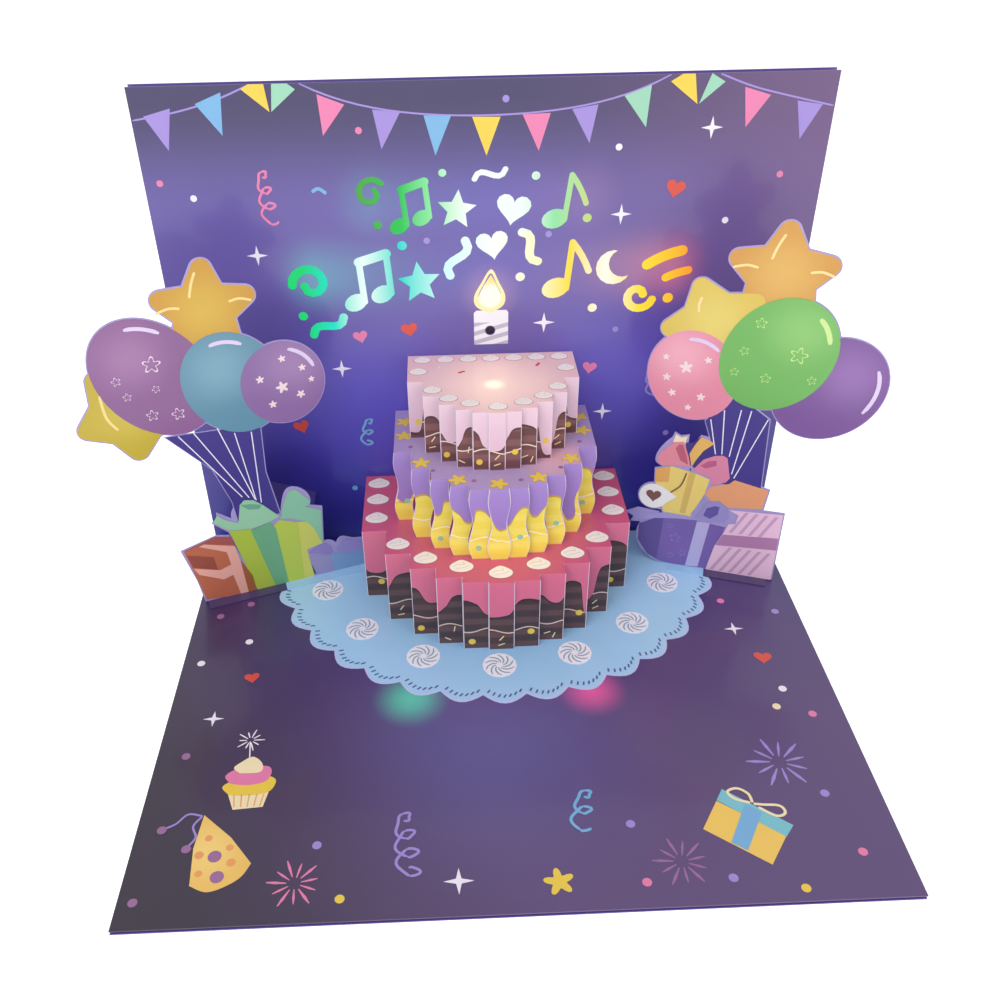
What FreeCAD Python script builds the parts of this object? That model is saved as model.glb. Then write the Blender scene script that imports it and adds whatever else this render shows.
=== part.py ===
import FreeCAD, Part
import Sketcher
import math
import os

# Pop up birthday card, opened to a right angle. The base lies flat and runs towards -Y, the back
# panel stands up at Y = 0, and the spine lies along X. Between the panels stand a three tier cake
# of strip-cut sheets and two angled wings of balloons and gifts. Millimetres, origin on the
# underside of the base, below the middle of the spine.

Vector = FreeCAD.Vector
doc = FreeCAD.newDocument("pop_up_card")

# Driving sizes: name, value in millimetres (or a plain count, ratio or angle in degrees)
sheet = doc.addObject("Spreadsheet::Sheet", "Sizes")
SIZES = [
    ("card_width", 200.0),
    ("card_depth", 157.0),
    ("cover_ply", 0.35),
    ("inner_ply", 0.35),
    ("base_core", 0.8),
    ("back_core", 3.2),
    ("spine_round", 0.9),
    ("core_inset", 1.0),
    ("popup_ply", 0.4),
    ("glue_tab", 5.0),
    ("rear_tab", 8.0),
    ("tab_slit", 0.5),
    ("strip_count", 11.0),
    ("cake_centre", 0.8),
    ("bottom_strip", 8.0),
    ("bottom_depth", 62.5),
    ("bottom_height", 27.0),
    ("bottom_roundness", 1.073),
    ("middle_strip", 5.85),
    ("middle_depth", 50.6),
    ("middle_height", 26.0),
    ("middle_roundness", 1.078),
    ("wave_size", 1.0),
    ("top_strip", 4.9),
    ("top_depth", 39.5),
    ("top_height", 20.0),
    ("top_roundness", 1.026),
    ("wing_angle", 19.0),
    ("wing_foot", 4.0),
    ("star_round", 3.4),
    ("arm_start", 65.0),
    ("arm_length", 24.0),
    ("arm_tab", 6.0),
    ("window_stroke", 2.8),
    ("window_margin", 17.0),
    ("window_rise", 16.5),
    ("window_left", 68.0),
    ("window_right", 72.0),
    ("window_room", 2.0),
    ("row_gap", 22.0),
    ("film_thickness", 0.25),
    ("film_drop", 3.3),
    ("flame_drop", 13.5),
    ("flame_height", 12.0),
    ("flame_width", 7.6),
    ("mic_gap", 6.7),
    ("mic_hole", 2.9),
    ("mic_diameter", 4.5),
    ("mic_clearance", 0.3),
    ("bay_half", 80.0),
    ("bay_bridge", 8.0),
    ("bay_neck", 13.0),
    ("board_left", -70.0),
    ("board_length", 42.0),
    ("board_bottom", 18.0),
    ("board_width", 32.0),
    ("board_thickness", 0.8),
    ("board_corner", 1.5),
    ("board_hole", 1.6),
    ("chip_diameter", 9.0),
    ("chip_height", 1.2),
    ("cell_diameter", 11.6),
    ("cell_thickness", 3.05),
    ("cell_clearance", 0.1),
    ("cell_pitch", 13.4),
    ("cell_count", 3.0),
    ("holder_left", -22.0),
    ("holder_bottom", 12.0),
    ("holder_height", 15.0),
    ("holder_thickness", 3.0),
    ("contact_thickness", 0.12),
    ("contact_width", 4.0),
    ("speaker_x", 56.0),
    ("speaker_z", 36.0),
    ("speaker_diameter", 28.0),
    ("speaker_thickness", 2.8),
    ("basket_rim", 1.2),
    ("basket_wall", 0.5),
    ("cone_thickness", 0.3),
    ("switch_left", 33.0),
    ("switch_width", 9.0),
    ("switch_bottom", 11.0),
    ("switch_height", 11.0),
    ("switch_thickness", 2.6),
    ("tongue_width", 6.0),
    ("tongue_thickness", 0.2),
    ("tongue_reach", 24.0),
    ("lead_width", 1.4),
    ("lead_thickness", 0.4),
    ("lead_drop", 2.6),
    ("mic_lead_height", 47.0),
    ("switch_lead_height", 31.0),
    ("strip_thickness", 0.2),
    ("strip_width", 5.0),
    ("strip_height", 40.0),
    ("lamp_length", 3.5),
    ("lamp_width", 2.8),
    ("lamp_height", 1.0),
    ("lamp_pitch_low", 19.0),
    ("lamp_pitch_high", 26.0),
    ("base_lamp_x", 27.3),
    ("base_lamp_y", -82.0),
    ("base_lamp_height", 0.7),
    ("lamp_pocket", 5.0),
    ("lead_channel", 2.4),
    ("cake_lamp_y", -20.4),
]
for row, (alias, value) in enumerate(SIZES, start=1):
    sheet.set("A%d" % row, alias)
    sheet.set("B%d" % row, repr(value))
    sheet.setAlias("B%d" % row, alias)
doc.recompute()

# Heights and depths that follow from the driving sizes, as expressions on the sheet
BASE_TOP = "(Sizes.cover_ply + Sizes.base_core + Sizes.inner_ply)"
BACK_REAR = "(Sizes.inner_ply + Sizes.back_core + Sizes.cover_ply)"
CORE_REAR = "(Sizes.inner_ply + Sizes.back_core)"
CARD_TOP = "(%s + Sizes.card_depth)" % BASE_TOP
MIDDLE_FLOOR = "(%s + Sizes.bottom_height)" % BASE_TOP
TOP_FLOOR = "(%s + Sizes.middle_height)" % MIDDLE_FLOOR
CAKE_TOP = "(%s + Sizes.top_height)" % TOP_FLOOR
BOARD_RIGHT = "(Sizes.board_left + Sizes.board_length)"
LEAD_Y = "(%s - Sizes.board_thickness / 2)" % CORE_REAR

# Heights above the inner face of the base that are set out downwards from the card's top edge
WINDOW_HEAD = "(Sizes.card_depth - Sizes.window_margin)"
ROW_HIGH = "(%s - Sizes.window_rise)" % WINDOW_HEAD
ROW_LOW = "(%s - Sizes.row_gap)" % ROW_HIGH
FLAME_BASE = "(%s - Sizes.flame_drop)" % ROW_LOW
MIC_HEIGHT = "(%s - Sizes.mic_gap)" % FLAME_BASE
WINDOW_FLOOR = "(%s - Sizes.film_drop)" % MIC_HEIGHT


def value(expression):
    """The number that an expression on the sheet stands for."""
    if isinstance(expression, (int, float)):
        return float(expression)
    result = sheet.evalExpression(expression)
    return float(getattr(result, "Value", result))


def size(alias):
    return value("Sizes." + alias)


def above_base(height):
    """Expression for a height that is counted from the inner face of the base."""
    return "(%s + %s)" % (BASE_TOP, height)


def new_body(label):
    body = doc.addObject("PartDesign::Body", label)
    body.Label = label
    return body


def bind(sketch, kind, geometry, point, expression):
    number = sketch.addConstraint(Sketcher.Constraint(kind, geometry, point, value(expression)))
    sketch.setExpression("Constraints[%d]" % number, str(expression))


def sketch_on(body, plane, loops, lift="0", circles=()):
    """Sketch on an origin plane of its body; every corner and circle is bound to the sheet."""
    sketch = body.newObject("Sketcher::SketchObject", body.Label + "_outline")
    origin_plane = [item for item in body.Origin.OriginFeatures if item.Role == plane][0]
    sketch.AttachmentSupport = [(origin_plane, "")]
    sketch.MapMode = "FlatFace"
    sketch.setExpression("AttachmentOffset.Base.z", str(lift))
    for corners in loops:
        first = sketch.GeometryCount
        numbers = [Vector(value(x), value(y), 0) for x, y in corners]
        count = len(numbers)
        for k in range(count):
            sketch.addGeometry(Part.LineSegment(numbers[k], numbers[(k + 1) % count]), False)
        for k in range(count):
            following = first + (k + 1) % count
            sketch.addConstraint(Sketcher.Constraint("Coincident", first + k, 2, following, 1))
        for k, (x, y) in enumerate(corners):
            bind(sketch, "DistanceX", first + k, 1, x)
            bind(sketch, "DistanceY", first + k, 1, y)
    for x, y, radius in circles:
        place = Vector(value(x), value(y), 0)
        number = sketch.addGeometry(Part.Circle(place, Vector(0, 0, 1), value(radius)), False)
        bind(sketch, "DistanceX", number, 3, x)
        bind(sketch, "DistanceY", number, 3, y)
        index = sketch.addConstraint(Sketcher.Constraint("Radius", number, value(radius)))
        sketch.setExpression("Constraints[%d]" % index, str(radius))
    return sketch


def pad(body, sketch, length, backwards=False):
    feature = body.newObject("PartDesign::Pad", body.Label + "_pad")
    feature.Profile = sketch
    feature.setExpression("Length", str(length))
    feature.Reversed = backwards
    sketch.Visibility = False
    return feature


def pocket(body, sketch, length, backwards=False):
    """Cut away from the sketch: against its normal, or along it when backwards is true."""
    doc.recompute()
    before = body.Shape.Volume
    feature = body.newObject("PartDesign::Pocket", body.Label + "_pocket")
    feature.Profile = sketch
    feature.setExpression("Length", str(length))
    feature.Reversed = backwards
    doc.recompute()
    if body.Shape.Volume >= before:
        raise ValueError("a pocket of %s cuts nothing" % body.Label)
    return feature


def rectangle(left, low, right, high):
    return [(left, low), (right, low), (right, high), (left, high)]


def plate(label, plane, loops, lift, thickness, backwards=False, circles=()):
    """A flat piece: one sketch padded by its thickness."""
    body = new_body(label)
    pad(body, sketch_on(body, plane, loops, lift, circles), thickness, backwards)
    return body


def upright(label, loops, front, thickness, circles=()):
    """A plate parallel to the back panel whose front face lies at Y = front."""
    return plate(label, "XZ_Plane", loops, "-(%s)" % front, thickness, True, circles)


def folded(label, section, left, width):
    """A folded sheet: its section in the YZ plane, padded along the fold."""
    return plate(label, "YZ_Plane", [section], left, width)


def solid(label, shape, placement=None):
    feature = doc.addObject("Part::Feature", label)
    feature.Label = label
    feature.Shape = shape
    if placement is not None:
        feature.Placement = placement
    return feature


def box(label, length, width, height, x, y, z):
    feature = doc.addObject("Part::Box", label)
    for name, expression in (("Length", length), ("Width", width), ("Height", height),
                             ("Placement.Base.x", x), ("Placement.Base.y", y),
                             ("Placement.Base.z", z)):
        feature.setExpression(name, str(expression))
    return feature


def group(label, members):
    """Several like pieces that share one node, kept as separate solids."""
    feature = doc.addObject("Part::Compound", label)
    feature.Label = label
    feature.Links = members
    return feature


def round_spine(body, corners, radius):
    """Round the long folds of a sheet; corners are the (y, z) places of the folds."""
    doc.recompute()
    names = []
    for number, edge in enumerate(body.Tip.Shape.Edges, start=1):
        ends = [vertex.Point for vertex in edge.Vertexes]
        if len(ends) == 2 and abs(ends[0].x - ends[1].x) > size("card_width") / 2:
            for y, z in corners:
                if abs(ends[0].y - value(y)) < 0.01 and abs(ends[0].z - value(z)) < 0.01:
                    names.append("Edge%d" % number)
    sharp = body.Tip
    feature = body.newObject("PartDesign::Fillet", body.Label + "_fold")
    feature.Base = (sharp, names)
    feature.setExpression("Radius", radius)
    body.Tip = feature


# Card: an outer cover and an inner printed sheet, each folded once along the spine
HALF_WIDTH = "(Sizes.card_width / 2)"
outer_cover = folded("outer_cover", [
    ("-Sizes.card_depth", "0"), (BACK_REAR, "0"), (BACK_REAR, CARD_TOP),
    (CORE_REAR, CARD_TOP), (CORE_REAR, "Sizes.cover_ply"), ("-Sizes.card_depth", "Sizes.cover_ply"),
], "-" + HALF_WIDTH, "Sizes.card_width")
round_spine(outer_cover, [(BACK_REAR, "0")], "Sizes.spine_round")

INNER_LOW = "(%s - Sizes.inner_ply)" % BASE_TOP
inner_blank = folded("inner_blank", [
    ("-Sizes.card_depth", INNER_LOW), ("Sizes.inner_ply", INNER_LOW),
    ("Sizes.inner_ply", CARD_TOP), ("0", CARD_TOP), ("0", BASE_TOP),
    ("-Sizes.card_depth", BASE_TOP),
], "-" + HALF_WIDTH, "Sizes.card_width")


# Die-cut windows in the back of the inner sheet, drawn in the plane of the back panel

def curve(points, closed=False):
    spline = Part.BSplineCurve()
    spline.interpolate([Vector(x, 0, z) for x, z in points], PeriodicFlag=closed)
    return spline.toShape()


# The motifs are small, so their round stretches are followed in short straight steps
CAP_STEPS = 6
ROUND_STEPS = 16


def stroke(points, width):
    """A round-ended slot of one width along a smooth line, or straight between two points."""
    middle = curve(points).Curve
    first, last = middle.FirstParameter, middle.LastParameter
    steps = 1 if len(points) == 2 else 2 * (len(points) - 1)
    left, right, caps = [], [], []
    for k in range(steps + 1):
        share = first + (last - first) * k / steps
        place, along = middle.value(share), middle.tangent(share)[0] * (width / 2)
        across = Vector(-along.z, 0, along.x)
        left.append(place + across)
        right.append(place - across)
        if k in (0, steps):
            sense = 1 if k else -1
            turns = [math.pi * n / CAP_STEPS for n in range(1, CAP_STEPS)]
            caps.append([place + (across * math.cos(a) + along * math.sin(a)) * sense for a in turns])
    outline = left + caps[1] + right[::-1] + caps[0]
    return Part.Face(Part.makePolygon(outline + outline[:1]))


def disc(x, z, radius):
    return Part.Face(Part.Wire(Part.makeCircle(radius, Vector(x, 0, z), Vector(0, -1, 0))))


def oval(x, z, along, across, turn):
    """An ellipse with its long half-axis at turn degrees from +X, in the XZ plane."""
    ellipse = Part.Ellipse(Vector(0, 0, 0), along, across)
    face = Part.Face(Part.Wire(ellipse.toShape()))
    face.rotate(Vector(0, 0, 0), Vector(1, 0, 0), 90)
    face.rotate(Vector(0, 0, 0), Vector(0, 1, 0), -turn)
    face.translate(Vector(x, 0, z))
    return face


def star_points(x, z, tip, valley, turn):
    points = []
    for k in range(10):
        angle = math.radians(turn + 36.0 * k)
        radius = tip if k % 2 == 0 else valley
        points.append((x + radius * math.cos(angle), z + radius * math.sin(angle)))
    return points


def polygon(points):
    corners = [Vector(x, 0, z) for x, z in points]
    return Part.Face(Part.makePolygon(corners + corners[:1]))


def spot(x, z, along, across=None, turn=0):
    """A small round hole, or an oval one with its long half-axis at turn degrees from +X."""
    across = across or along
    swing = math.radians(turn)
    points = []
    for k in range(ROUND_STEPS):
        angle = 2 * math.pi * k / ROUND_STEPS
        far, side = along * math.cos(angle), across * math.sin(angle)
        points.append((x + far * math.cos(swing) - side * math.sin(swing),
                       z + far * math.sin(swing) + side * math.cos(swing)))
    return polygon(points)


def puffy_star(x, z, tip, valley, turn):
    """A foil balloon star: a smaller star grown outwards, which rounds its tips."""
    grown = size("star_round")
    core = polygon(star_points(x, z, tip - grown, valley - 0.9 * grown, turn))
    return Part.Face(core.OuterWire.makeOffset2D(grown))


def heart(x, z, width, turn=0):
    """Two lobes and a point, traced from the notch round to the notch."""
    outline = []
    for k in range(24):
        angle = 2 * math.pi * k / 24
        across = 16 * math.sin(angle) ** 3
        up = 13 * math.cos(angle) - 5 * math.cos(2 * angle) - 2 * math.cos(3 * angle)
        outline.append((across * width / 32, (up - math.cos(4 * angle)) * width / 32))
    face = polygon(outline)
    face.rotate(Vector(0, 0, 0), Vector(0, 1, 0), -turn)
    face.translate(Vector(x, 0, z))
    return face


def turned(faces, x, z, turn):
    for face in faces:
        face.rotate(Vector(x, 0, z), Vector(0, 1, 0), -turn)
    return faces


def music_note(x, z, reach, line, turn=0):
    """A note with a slanting head, a stem and a curled flag."""
    head = spot(x, z, 0.3 * reach, 0.22 * reach, 25)
    stem_x = x + 0.22 * reach
    stem = stroke([(stem_x, z), (stem_x, z + reach)], line)
    flag = stroke([(stem_x, z + reach), (stem_x + 0.24 * reach, z + 0.72 * reach),
                   (stem_x + 0.42 * reach, z + 0.42 * reach)], line)
    return turned([head, stem, flag], x, z, turn)


def paired_notes(x, z, reach, line, turn=0):
    """Two notes that share one sloping beam."""
    gap = 0.62 * reach
    parts = []
    for left, foot in ((x, z), (x + gap, z + 0.14 * reach)):
        parts.append(spot(left, foot, 0.27 * reach, 0.2 * reach, 25))
        stem_x = left + 0.2 * reach
        parts.append(stroke([(stem_x, foot), (stem_x, foot + 0.92 * reach)], line))
    start = (x + 0.2 * reach, z + 0.92 * reach)
    end = (start[0] + gap, start[1] + 0.14 * reach)
    parts.append(stroke([start, end], 1.5 * line))
    return turned(parts, x, z, turn)


def crescent(x, z, radius, turn=0):
    moon = spot(x, z, radius).cut(spot(x + 0.55 * radius, z, 0.78 * radius))
    return turned(moon.Faces, x, z, turn)


def swirl(x, z, radius, line, turns, start, sense=1):
    """A streamer that winds outwards from its middle."""
    points = []
    for k in range(8):
        angle = math.radians(start) + sense * 2 * math.pi * turns * k / 7
        reach = radius * (0.36 + 0.64 * k / 7)
        points.append((x + reach * math.cos(angle), z + reach * math.sin(angle)))
    return [stroke(points, line)]


def ripple(x, z, length, swing, line, turn=0):
    """A short paper streamer: one wave."""
    points = [(x + length * (k / 4 - 0.5), z + swing * math.sin(k * math.pi / 2)) for k in range(5)]
    return turned([stroke(points, line)], x, z, turn)


# Motifs of each row, set out sideways from the middle and up or down from the row's lamps
WINDOW = size("window_stroke")
LINE = 0.62 * WINDOW
BOLD_LINE = 0.75 * WINDOW
UPPER_ROW = [
    swirl(-34.5, 2.5, 4.4, LINE, 1.0, 40, -1),
    [spot(-33.0, -7.0, 1.3)],
    paired_notes(-26.5, -7.5, 11.5, LINE, 6),
    [spot(-13.0, 8.0, 1.2)],
    [polygon(star_points(-9.0, -3.0, 6.2, 2.9, 84))],
    ripple(1.0, 7.3, 9.5, 1.3, LINE, 16),
    [heart(8.0, -2.9, 10.5, -10)],
    [spot(14.6, 6.5, 1.3)],
    music_note(20.5, -6.5, 13.5, LINE, -8),
    [spot(30.4, -6.5, 1.4)],
]
LOWER_ROW = [
    swirl(-55.0, -3.0, 5.8, WINDOW, 0.95, 200),
    ripple(-50.8, -17.1, 11.5, 1.5, WINDOW, 30),
    [spot(-58.5, -13.5, 1.5)],
    paired_notes(-41.5, -9.5, 14.0, BOLD_LINE, 4),
    [spot(-26.0, 8.5, 1.5)],
    [polygon(star_points(-21.2, -3.5, 7.0, 3.3, 95))],
    ripple(-9.1, 4.0, 12.0, 1.7, WINDOW, 66),
    [heart(1.6, 8.3, 10.0, 8)],
    [spot(10.3, -2.5, 1.5)],
    ripple(13.2, 7.0, 10.5, 1.4, WINDOW, 118),
    music_note(21.5, -6.5, 15.0, BOLD_LINE, -6),
    crescent(39.5, -0.3, 5.6, 25),
    [spot(33.5, -13.5, 1.5)],
    swirl(47.8, -10.0, 4.8, WINDOW, 0.9, 20),
    [stroke([(50.0, 0.3), (55.0, 2.9), (60.5, 4.5)], 1.25 * WINDOW)],
    [stroke([(56.2, -4.1), (59.7, -2.7), (63.0, -1.9)], WINDOW)],
    [spot(57.5, -10.9, 1.7)],
]


def flame_face():
    """The candle flame: a drop with a slightly bent tip."""
    low, tall = value(FLAME_BASE), size("flame_height")
    half, middle = size("flame_width") / 2, size("cake_centre")
    outline = [(0, 0), (-0.85, 0.16), (-1, 0.38), (-0.55, 0.68), (0.1, 1), (0.62, 0.68),
               (1, 0.38), (0.85, 0.16), (0, 0)]
    places = [Vector(middle + half * x, 0, low + tall * z) for x, z in outline]
    sides = [Part.Arc(*places[k:k + 3]).toShape() for k in range(0, 8, 2)]
    return Part.Face(Part.Wire(sides))


mic_face = disc(size("cake_centre"), value(MIC_HEIGHT), size("mic_hole") / 2)
LEAD_HOLE_LOW = value("%s - %s - Sizes.rear_tab - Sizes.lead_drop" % (CAKE_TOP, BASE_TOP))
LEAD_HOLE_LEFT = size("cake_centre") + 0.1
LEAD_HOLE_RIGHT = LEAD_HOLE_LEFT + size("lead_width") + 0.4
LEAD_HOLE_HIGH = LEAD_HOLE_LOW + size("lead_thickness") + 0.6
cake_lead_face = polygon([(LEAD_HOLE_LEFT, LEAD_HOLE_LOW), (LEAD_HOLE_RIGHT, LEAD_HOLE_LOW),
                          (LEAD_HOLE_RIGHT, LEAD_HOLE_HIGH), (LEAD_HOLE_LEFT, LEAD_HOLE_HIGH)])


def prisms(faces, start, depth):
    """Each face made a solid from Y = start, and the solids that overlap fused."""
    solids = []
    for face in faces:
        moved = face.copy()
        moved.translate(Vector(0, start, 0))
        solids.append(moved.extrude(Vector(0, depth, 0)))
    return solids[0].fuse(solids[1:]).removeSplitter() if len(solids) > 1 else solids[0]


window_prisms = []
for row, level in ((UPPER_ROW, ROW_HIGH), (LOWER_ROW, ROW_LOW),
                   ([[flame_face()], [mic_face], [cake_lead_face]], 0)):
    for motif in row:
        cutter = prisms(motif, -size("inner_ply"), 3 * size("inner_ply"))
        cutter.translate(Vector(0, 0, value(level)))
        window_prisms.append(cutter)
window_cutter = solid("window_cutter", Part.makeCompound(window_prisms),
                      FreeCAD.Placement(Vector(0, 0, value(BASE_TOP)), FreeCAD.Rotation()))
inner_sheet = doc.addObject("Part::Cut", "inner_sheet")
inner_sheet.Label = "inner_sheet"
inner_sheet.Base = inner_blank
inner_sheet.Tool = window_cutter


# Cores: a foam spacer in the back, open for the lamps and the sound board, and a grey board in
# the base with pockets and channels for its two lamps and the switch tongue
SIDE = "(%s - Sizes.core_inset)" % HALF_WIDTH
SPACER_TOP = "(%s - Sizes.core_inset)" % CARD_TOP
WINDOW_LOW = above_base("(%s - Sizes.window_room)" % WINDOW_FLOOR)
WINDOW_HIGH = above_base("(%s + Sizes.window_room)" % WINDOW_HEAD)
BAY_TOP = "(%s - Sizes.bay_bridge)" % WINDOW_LOW
BAY_L = "-(Sizes.window_left + 2 * Sizes.window_room)"
BAY_R = "(Sizes.window_right + 2 * Sizes.window_room)"
back_spacer = upright("back_spacer", [[
    ("-" + SIDE, "Sizes.cover_ply"), ("-" + SIDE, SPACER_TOP), (SIDE, SPACER_TOP),
    (SIDE, "Sizes.cover_ply"), ("Sizes.bay_half", "Sizes.cover_ply"), ("Sizes.bay_half", BAY_TOP),
    ("Sizes.bay_neck", BAY_TOP), ("Sizes.bay_neck", WINDOW_LOW), (BAY_R, WINDOW_LOW),
    (BAY_R, WINDOW_HIGH), (BAY_L, WINDOW_HIGH), (BAY_L, WINDOW_LOW),
    ("-Sizes.bay_neck", WINDOW_LOW), ("-Sizes.bay_neck", BAY_TOP),
    ("-Sizes.bay_half", BAY_TOP), ("-Sizes.bay_half", "Sizes.cover_ply"),
]], "Sizes.inner_ply", "Sizes.back_core")


def lamp_notch(centre):
    """Corners of one keyhole notch in the back edge of the base board, from right to left."""
    narrow, wide = "(Sizes.lead_channel / 2)", "(Sizes.lamp_pocket / 2)"
    near = "(Sizes.base_lamp_y + Sizes.lamp_pocket / 2)"
    far = "(Sizes.base_lamp_y - Sizes.lamp_pocket / 2)"
    return [("%s + %s" % (centre, narrow), "0"), ("%s + %s" % (centre, narrow), near),
            ("%s + %s" % (centre, wide), near), ("%s + %s" % (centre, wide), far),
            ("%s - %s" % (centre, wide), far), ("%s - %s" % (centre, wide), near),
            ("%s - %s" % (centre, narrow), near), ("%s - %s" % (centre, narrow), "0")]


TONGUE_LEFT = "(Sizes.switch_left + (Sizes.switch_width - Sizes.tongue_width) / 2)"
TONGUE_RIGHT = "(%s + Sizes.tongue_width)" % TONGUE_LEFT
base_board = plate("base_board", "XY_Plane", [[
    ("-" + SIDE, "-Sizes.card_depth + Sizes.core_inset"),
    (SIDE, "-Sizes.card_depth + Sizes.core_inset"), (SIDE, "0"),
    ("%s + 1" % TONGUE_RIGHT, "0"), ("%s + 1" % TONGUE_RIGHT, "-Sizes.tongue_reach - 1"),
    ("%s - 1" % TONGUE_LEFT, "-Sizes.tongue_reach - 1"), ("%s - 1" % TONGUE_LEFT, "0"),
] + lamp_notch("Sizes.base_lamp_x") + lamp_notch("-Sizes.base_lamp_x") + [("-" + SIDE, "0")]],
    "Sizes.cover_ply", "Sizes.base_core")

film_blank = box("film_blank", "Sizes.window_left + Sizes.window_right", "Sizes.film_thickness",
                 "%s - %s" % (WINDOW_HEAD, WINDOW_FLOOR), "-Sizes.window_left",
                 "Sizes.inner_ply", above_base(WINDOW_FLOOR))
film_hole = doc.addObject("Part::Cylinder", "film_hole")
film_hole.Placement = FreeCAD.Placement(Vector(0, 0, 0), FreeCAD.Rotation(Vector(1, 0, 0), -90))
for name, expression in (("Radius", "Sizes.mic_diameter / 2 + Sizes.mic_clearance"),
                         ("Height", "2 * Sizes.inner_ply + Sizes.film_thickness"),
                         ("Placement.Base.x", "Sizes.cake_centre"),
                         ("Placement.Base.z", above_base(MIC_HEIGHT))):
    film_hole.setExpression(name, expression)
diffuser_film = doc.addObject("Part::Cut", "diffuser_film")
diffuser_film.Label = "diffuser_film"
diffuser_film.Base = film_blank
diffuser_film.Tool = film_hole

# Sound board with its chip, its small parts, the cells in their holder and the speaker
BOARD_LOW = above_base("Sizes.board_bottom")
BOARD_HIGH = above_base("(Sizes.board_bottom + Sizes.board_width)")
BOARD_FRONT = "(%s - Sizes.board_thickness)" % CORE_REAR
BOARD_CUT = "Sizes.board_corner"
BOARD_INSET = "(Sizes.board_corner + Sizes.board_hole)"
circuit_board = upright("circuit_board", [[
    ("Sizes.board_left + " + BOARD_CUT, BOARD_LOW), (BOARD_RIGHT, BOARD_LOW), (BOARD_RIGHT, BOARD_HIGH),
    ("Sizes.board_left + " + BOARD_CUT, BOARD_HIGH), ("Sizes.board_left", BOARD_HIGH + " - " + BOARD_CUT),
    ("Sizes.board_left", BOARD_LOW + " + " + BOARD_CUT)]], BOARD_FRONT, "Sizes.board_thickness",
    [("Sizes.board_left + " + BOARD_INSET, BOARD_LOW + " + " + BOARD_INSET, "Sizes.board_hole / 2"),
     ("Sizes.board_left + " + BOARD_INSET, BOARD_HIGH + " - " + BOARD_INSET,
      "Sizes.board_hole / 2")])

chip_cap = new_body("chip_cap")
CHIP_EDGE = "Sizes.chip_diameter / 2"
chip_section = sketch_on(chip_cap, "XY_Plane", [[
    ("0", BOARD_FRONT), (CHIP_EDGE, BOARD_FRONT),
    ("0.7 * " + CHIP_EDGE, BOARD_FRONT + " - Sizes.chip_height"),
    ("0", BOARD_FRONT + " - Sizes.chip_height")]])
chip_turn = chip_cap.newObject("PartDesign::Revolution", "chip_turn")
chip_turn.Profile = chip_section
chip_turn.ReferenceAxis = (chip_section, ["V_Axis"])
chip_turn.Angle = 360
chip_cap.setExpression("Placement.Base.x", "Sizes.board_left + Sizes.board_length * 0.55")
chip_cap.setExpression("Placement.Base.z", above_base("(Sizes.board_bottom + 15)"))

SMALL_PARTS = [("resistor", 2.0, 1.25, 0.5, 9.0, 25.0), ("resistor", 2.0, 1.25, 0.5, 14.0, 25.0),
               ("resistor", 2.0, 1.25, 0.5, 19.0, 25.0), ("capacitor", 3.2, 1.6, 1.1, 32.0, 8.0),
               ("driver", 2.9, 1.6, 1.1, 33.0, 24.0)]
small_parts = []
for number, (kind, length, height, depth, x, z) in enumerate(SMALL_PARTS, start=1):
    small_parts.append(box("%s_%d" % (kind, number), "%s mm" % length, "%s mm" % depth,
                           "%s mm" % height, "Sizes.board_left + %s" % x,
                           "%s - %s" % (BOARD_FRONT, depth),
                           above_base("(Sizes.board_bottom + %s)" % z)))
board_parts = group("board_parts", small_parts)

HOLDER_LOW = above_base("Sizes.holder_bottom")
HOLDER_LENGTH = "(Sizes.cell_count * Sizes.cell_pitch + 1.8)"
CELL_Z = above_base("(Sizes.holder_bottom + Sizes.holder_height / 2)")
cell_count = int(size("cell_count"))
cell_centres = ["(Sizes.holder_left + 0.9 + Sizes.cell_pitch * %s)" % (k + 0.5)
                for k in range(cell_count)]
cell_holder = upright("cell_holder", [rectangle(
    "Sizes.holder_left", HOLDER_LOW, "Sizes.holder_left + " + HOLDER_LENGTH,
    HOLDER_LOW + " + Sizes.holder_height")], "Sizes.inner_ply + 0.05", "Sizes.holder_thickness",
    [(x, CELL_Z, "Sizes.cell_diameter / 2 + Sizes.cell_clearance") for x in cell_centres])

cell_members = []
for number, x in enumerate(cell_centres, start=1):
    cell = doc.addObject("Part::Cylinder", "cell_%d" % number)
    cell.Placement = FreeCAD.Placement(Vector(0, 0, 0), FreeCAD.Rotation(Vector(1, 0, 0), -90))
    for name, expression in (("Radius", "Sizes.cell_diameter / 2"),
                             ("Height", "Sizes.cell_thickness"), ("Placement.Base.x", x),
                             ("Placement.Base.y", "Sizes.inner_ply"), ("Placement.Base.z", CELL_Z)):
        cell.setExpression(name, expression)
    cell_members.append(cell)
cells = group("cells", cell_members)
cell_contact = upright("cell_contact", [rectangle(
    cell_centres[0] + " - 3", CELL_Z + " - Sizes.contact_width / 2",
    cell_centres[-1] + " + 3", CELL_Z + " + Sizes.contact_width / 2")],
    "Sizes.inner_ply + Sizes.cell_thickness", "Sizes.contact_thickness")


def turned_piece(label, section, x, z):
    """A round piece on an axis along Y: its half section (radius, y) is revolved."""
    body = new_body(label)
    sketch = sketch_on(body, "XY_Plane", [section])
    feature = body.newObject("PartDesign::Revolution", label + "_turn")
    feature.Profile = sketch
    feature.ReferenceAxis = (sketch, ["V_Axis"])
    feature.Angle = 360
    body.setExpression("Placement.Base.x", x)
    body.setExpression("Placement.Base.z", above_base(z))
    return body


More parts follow.
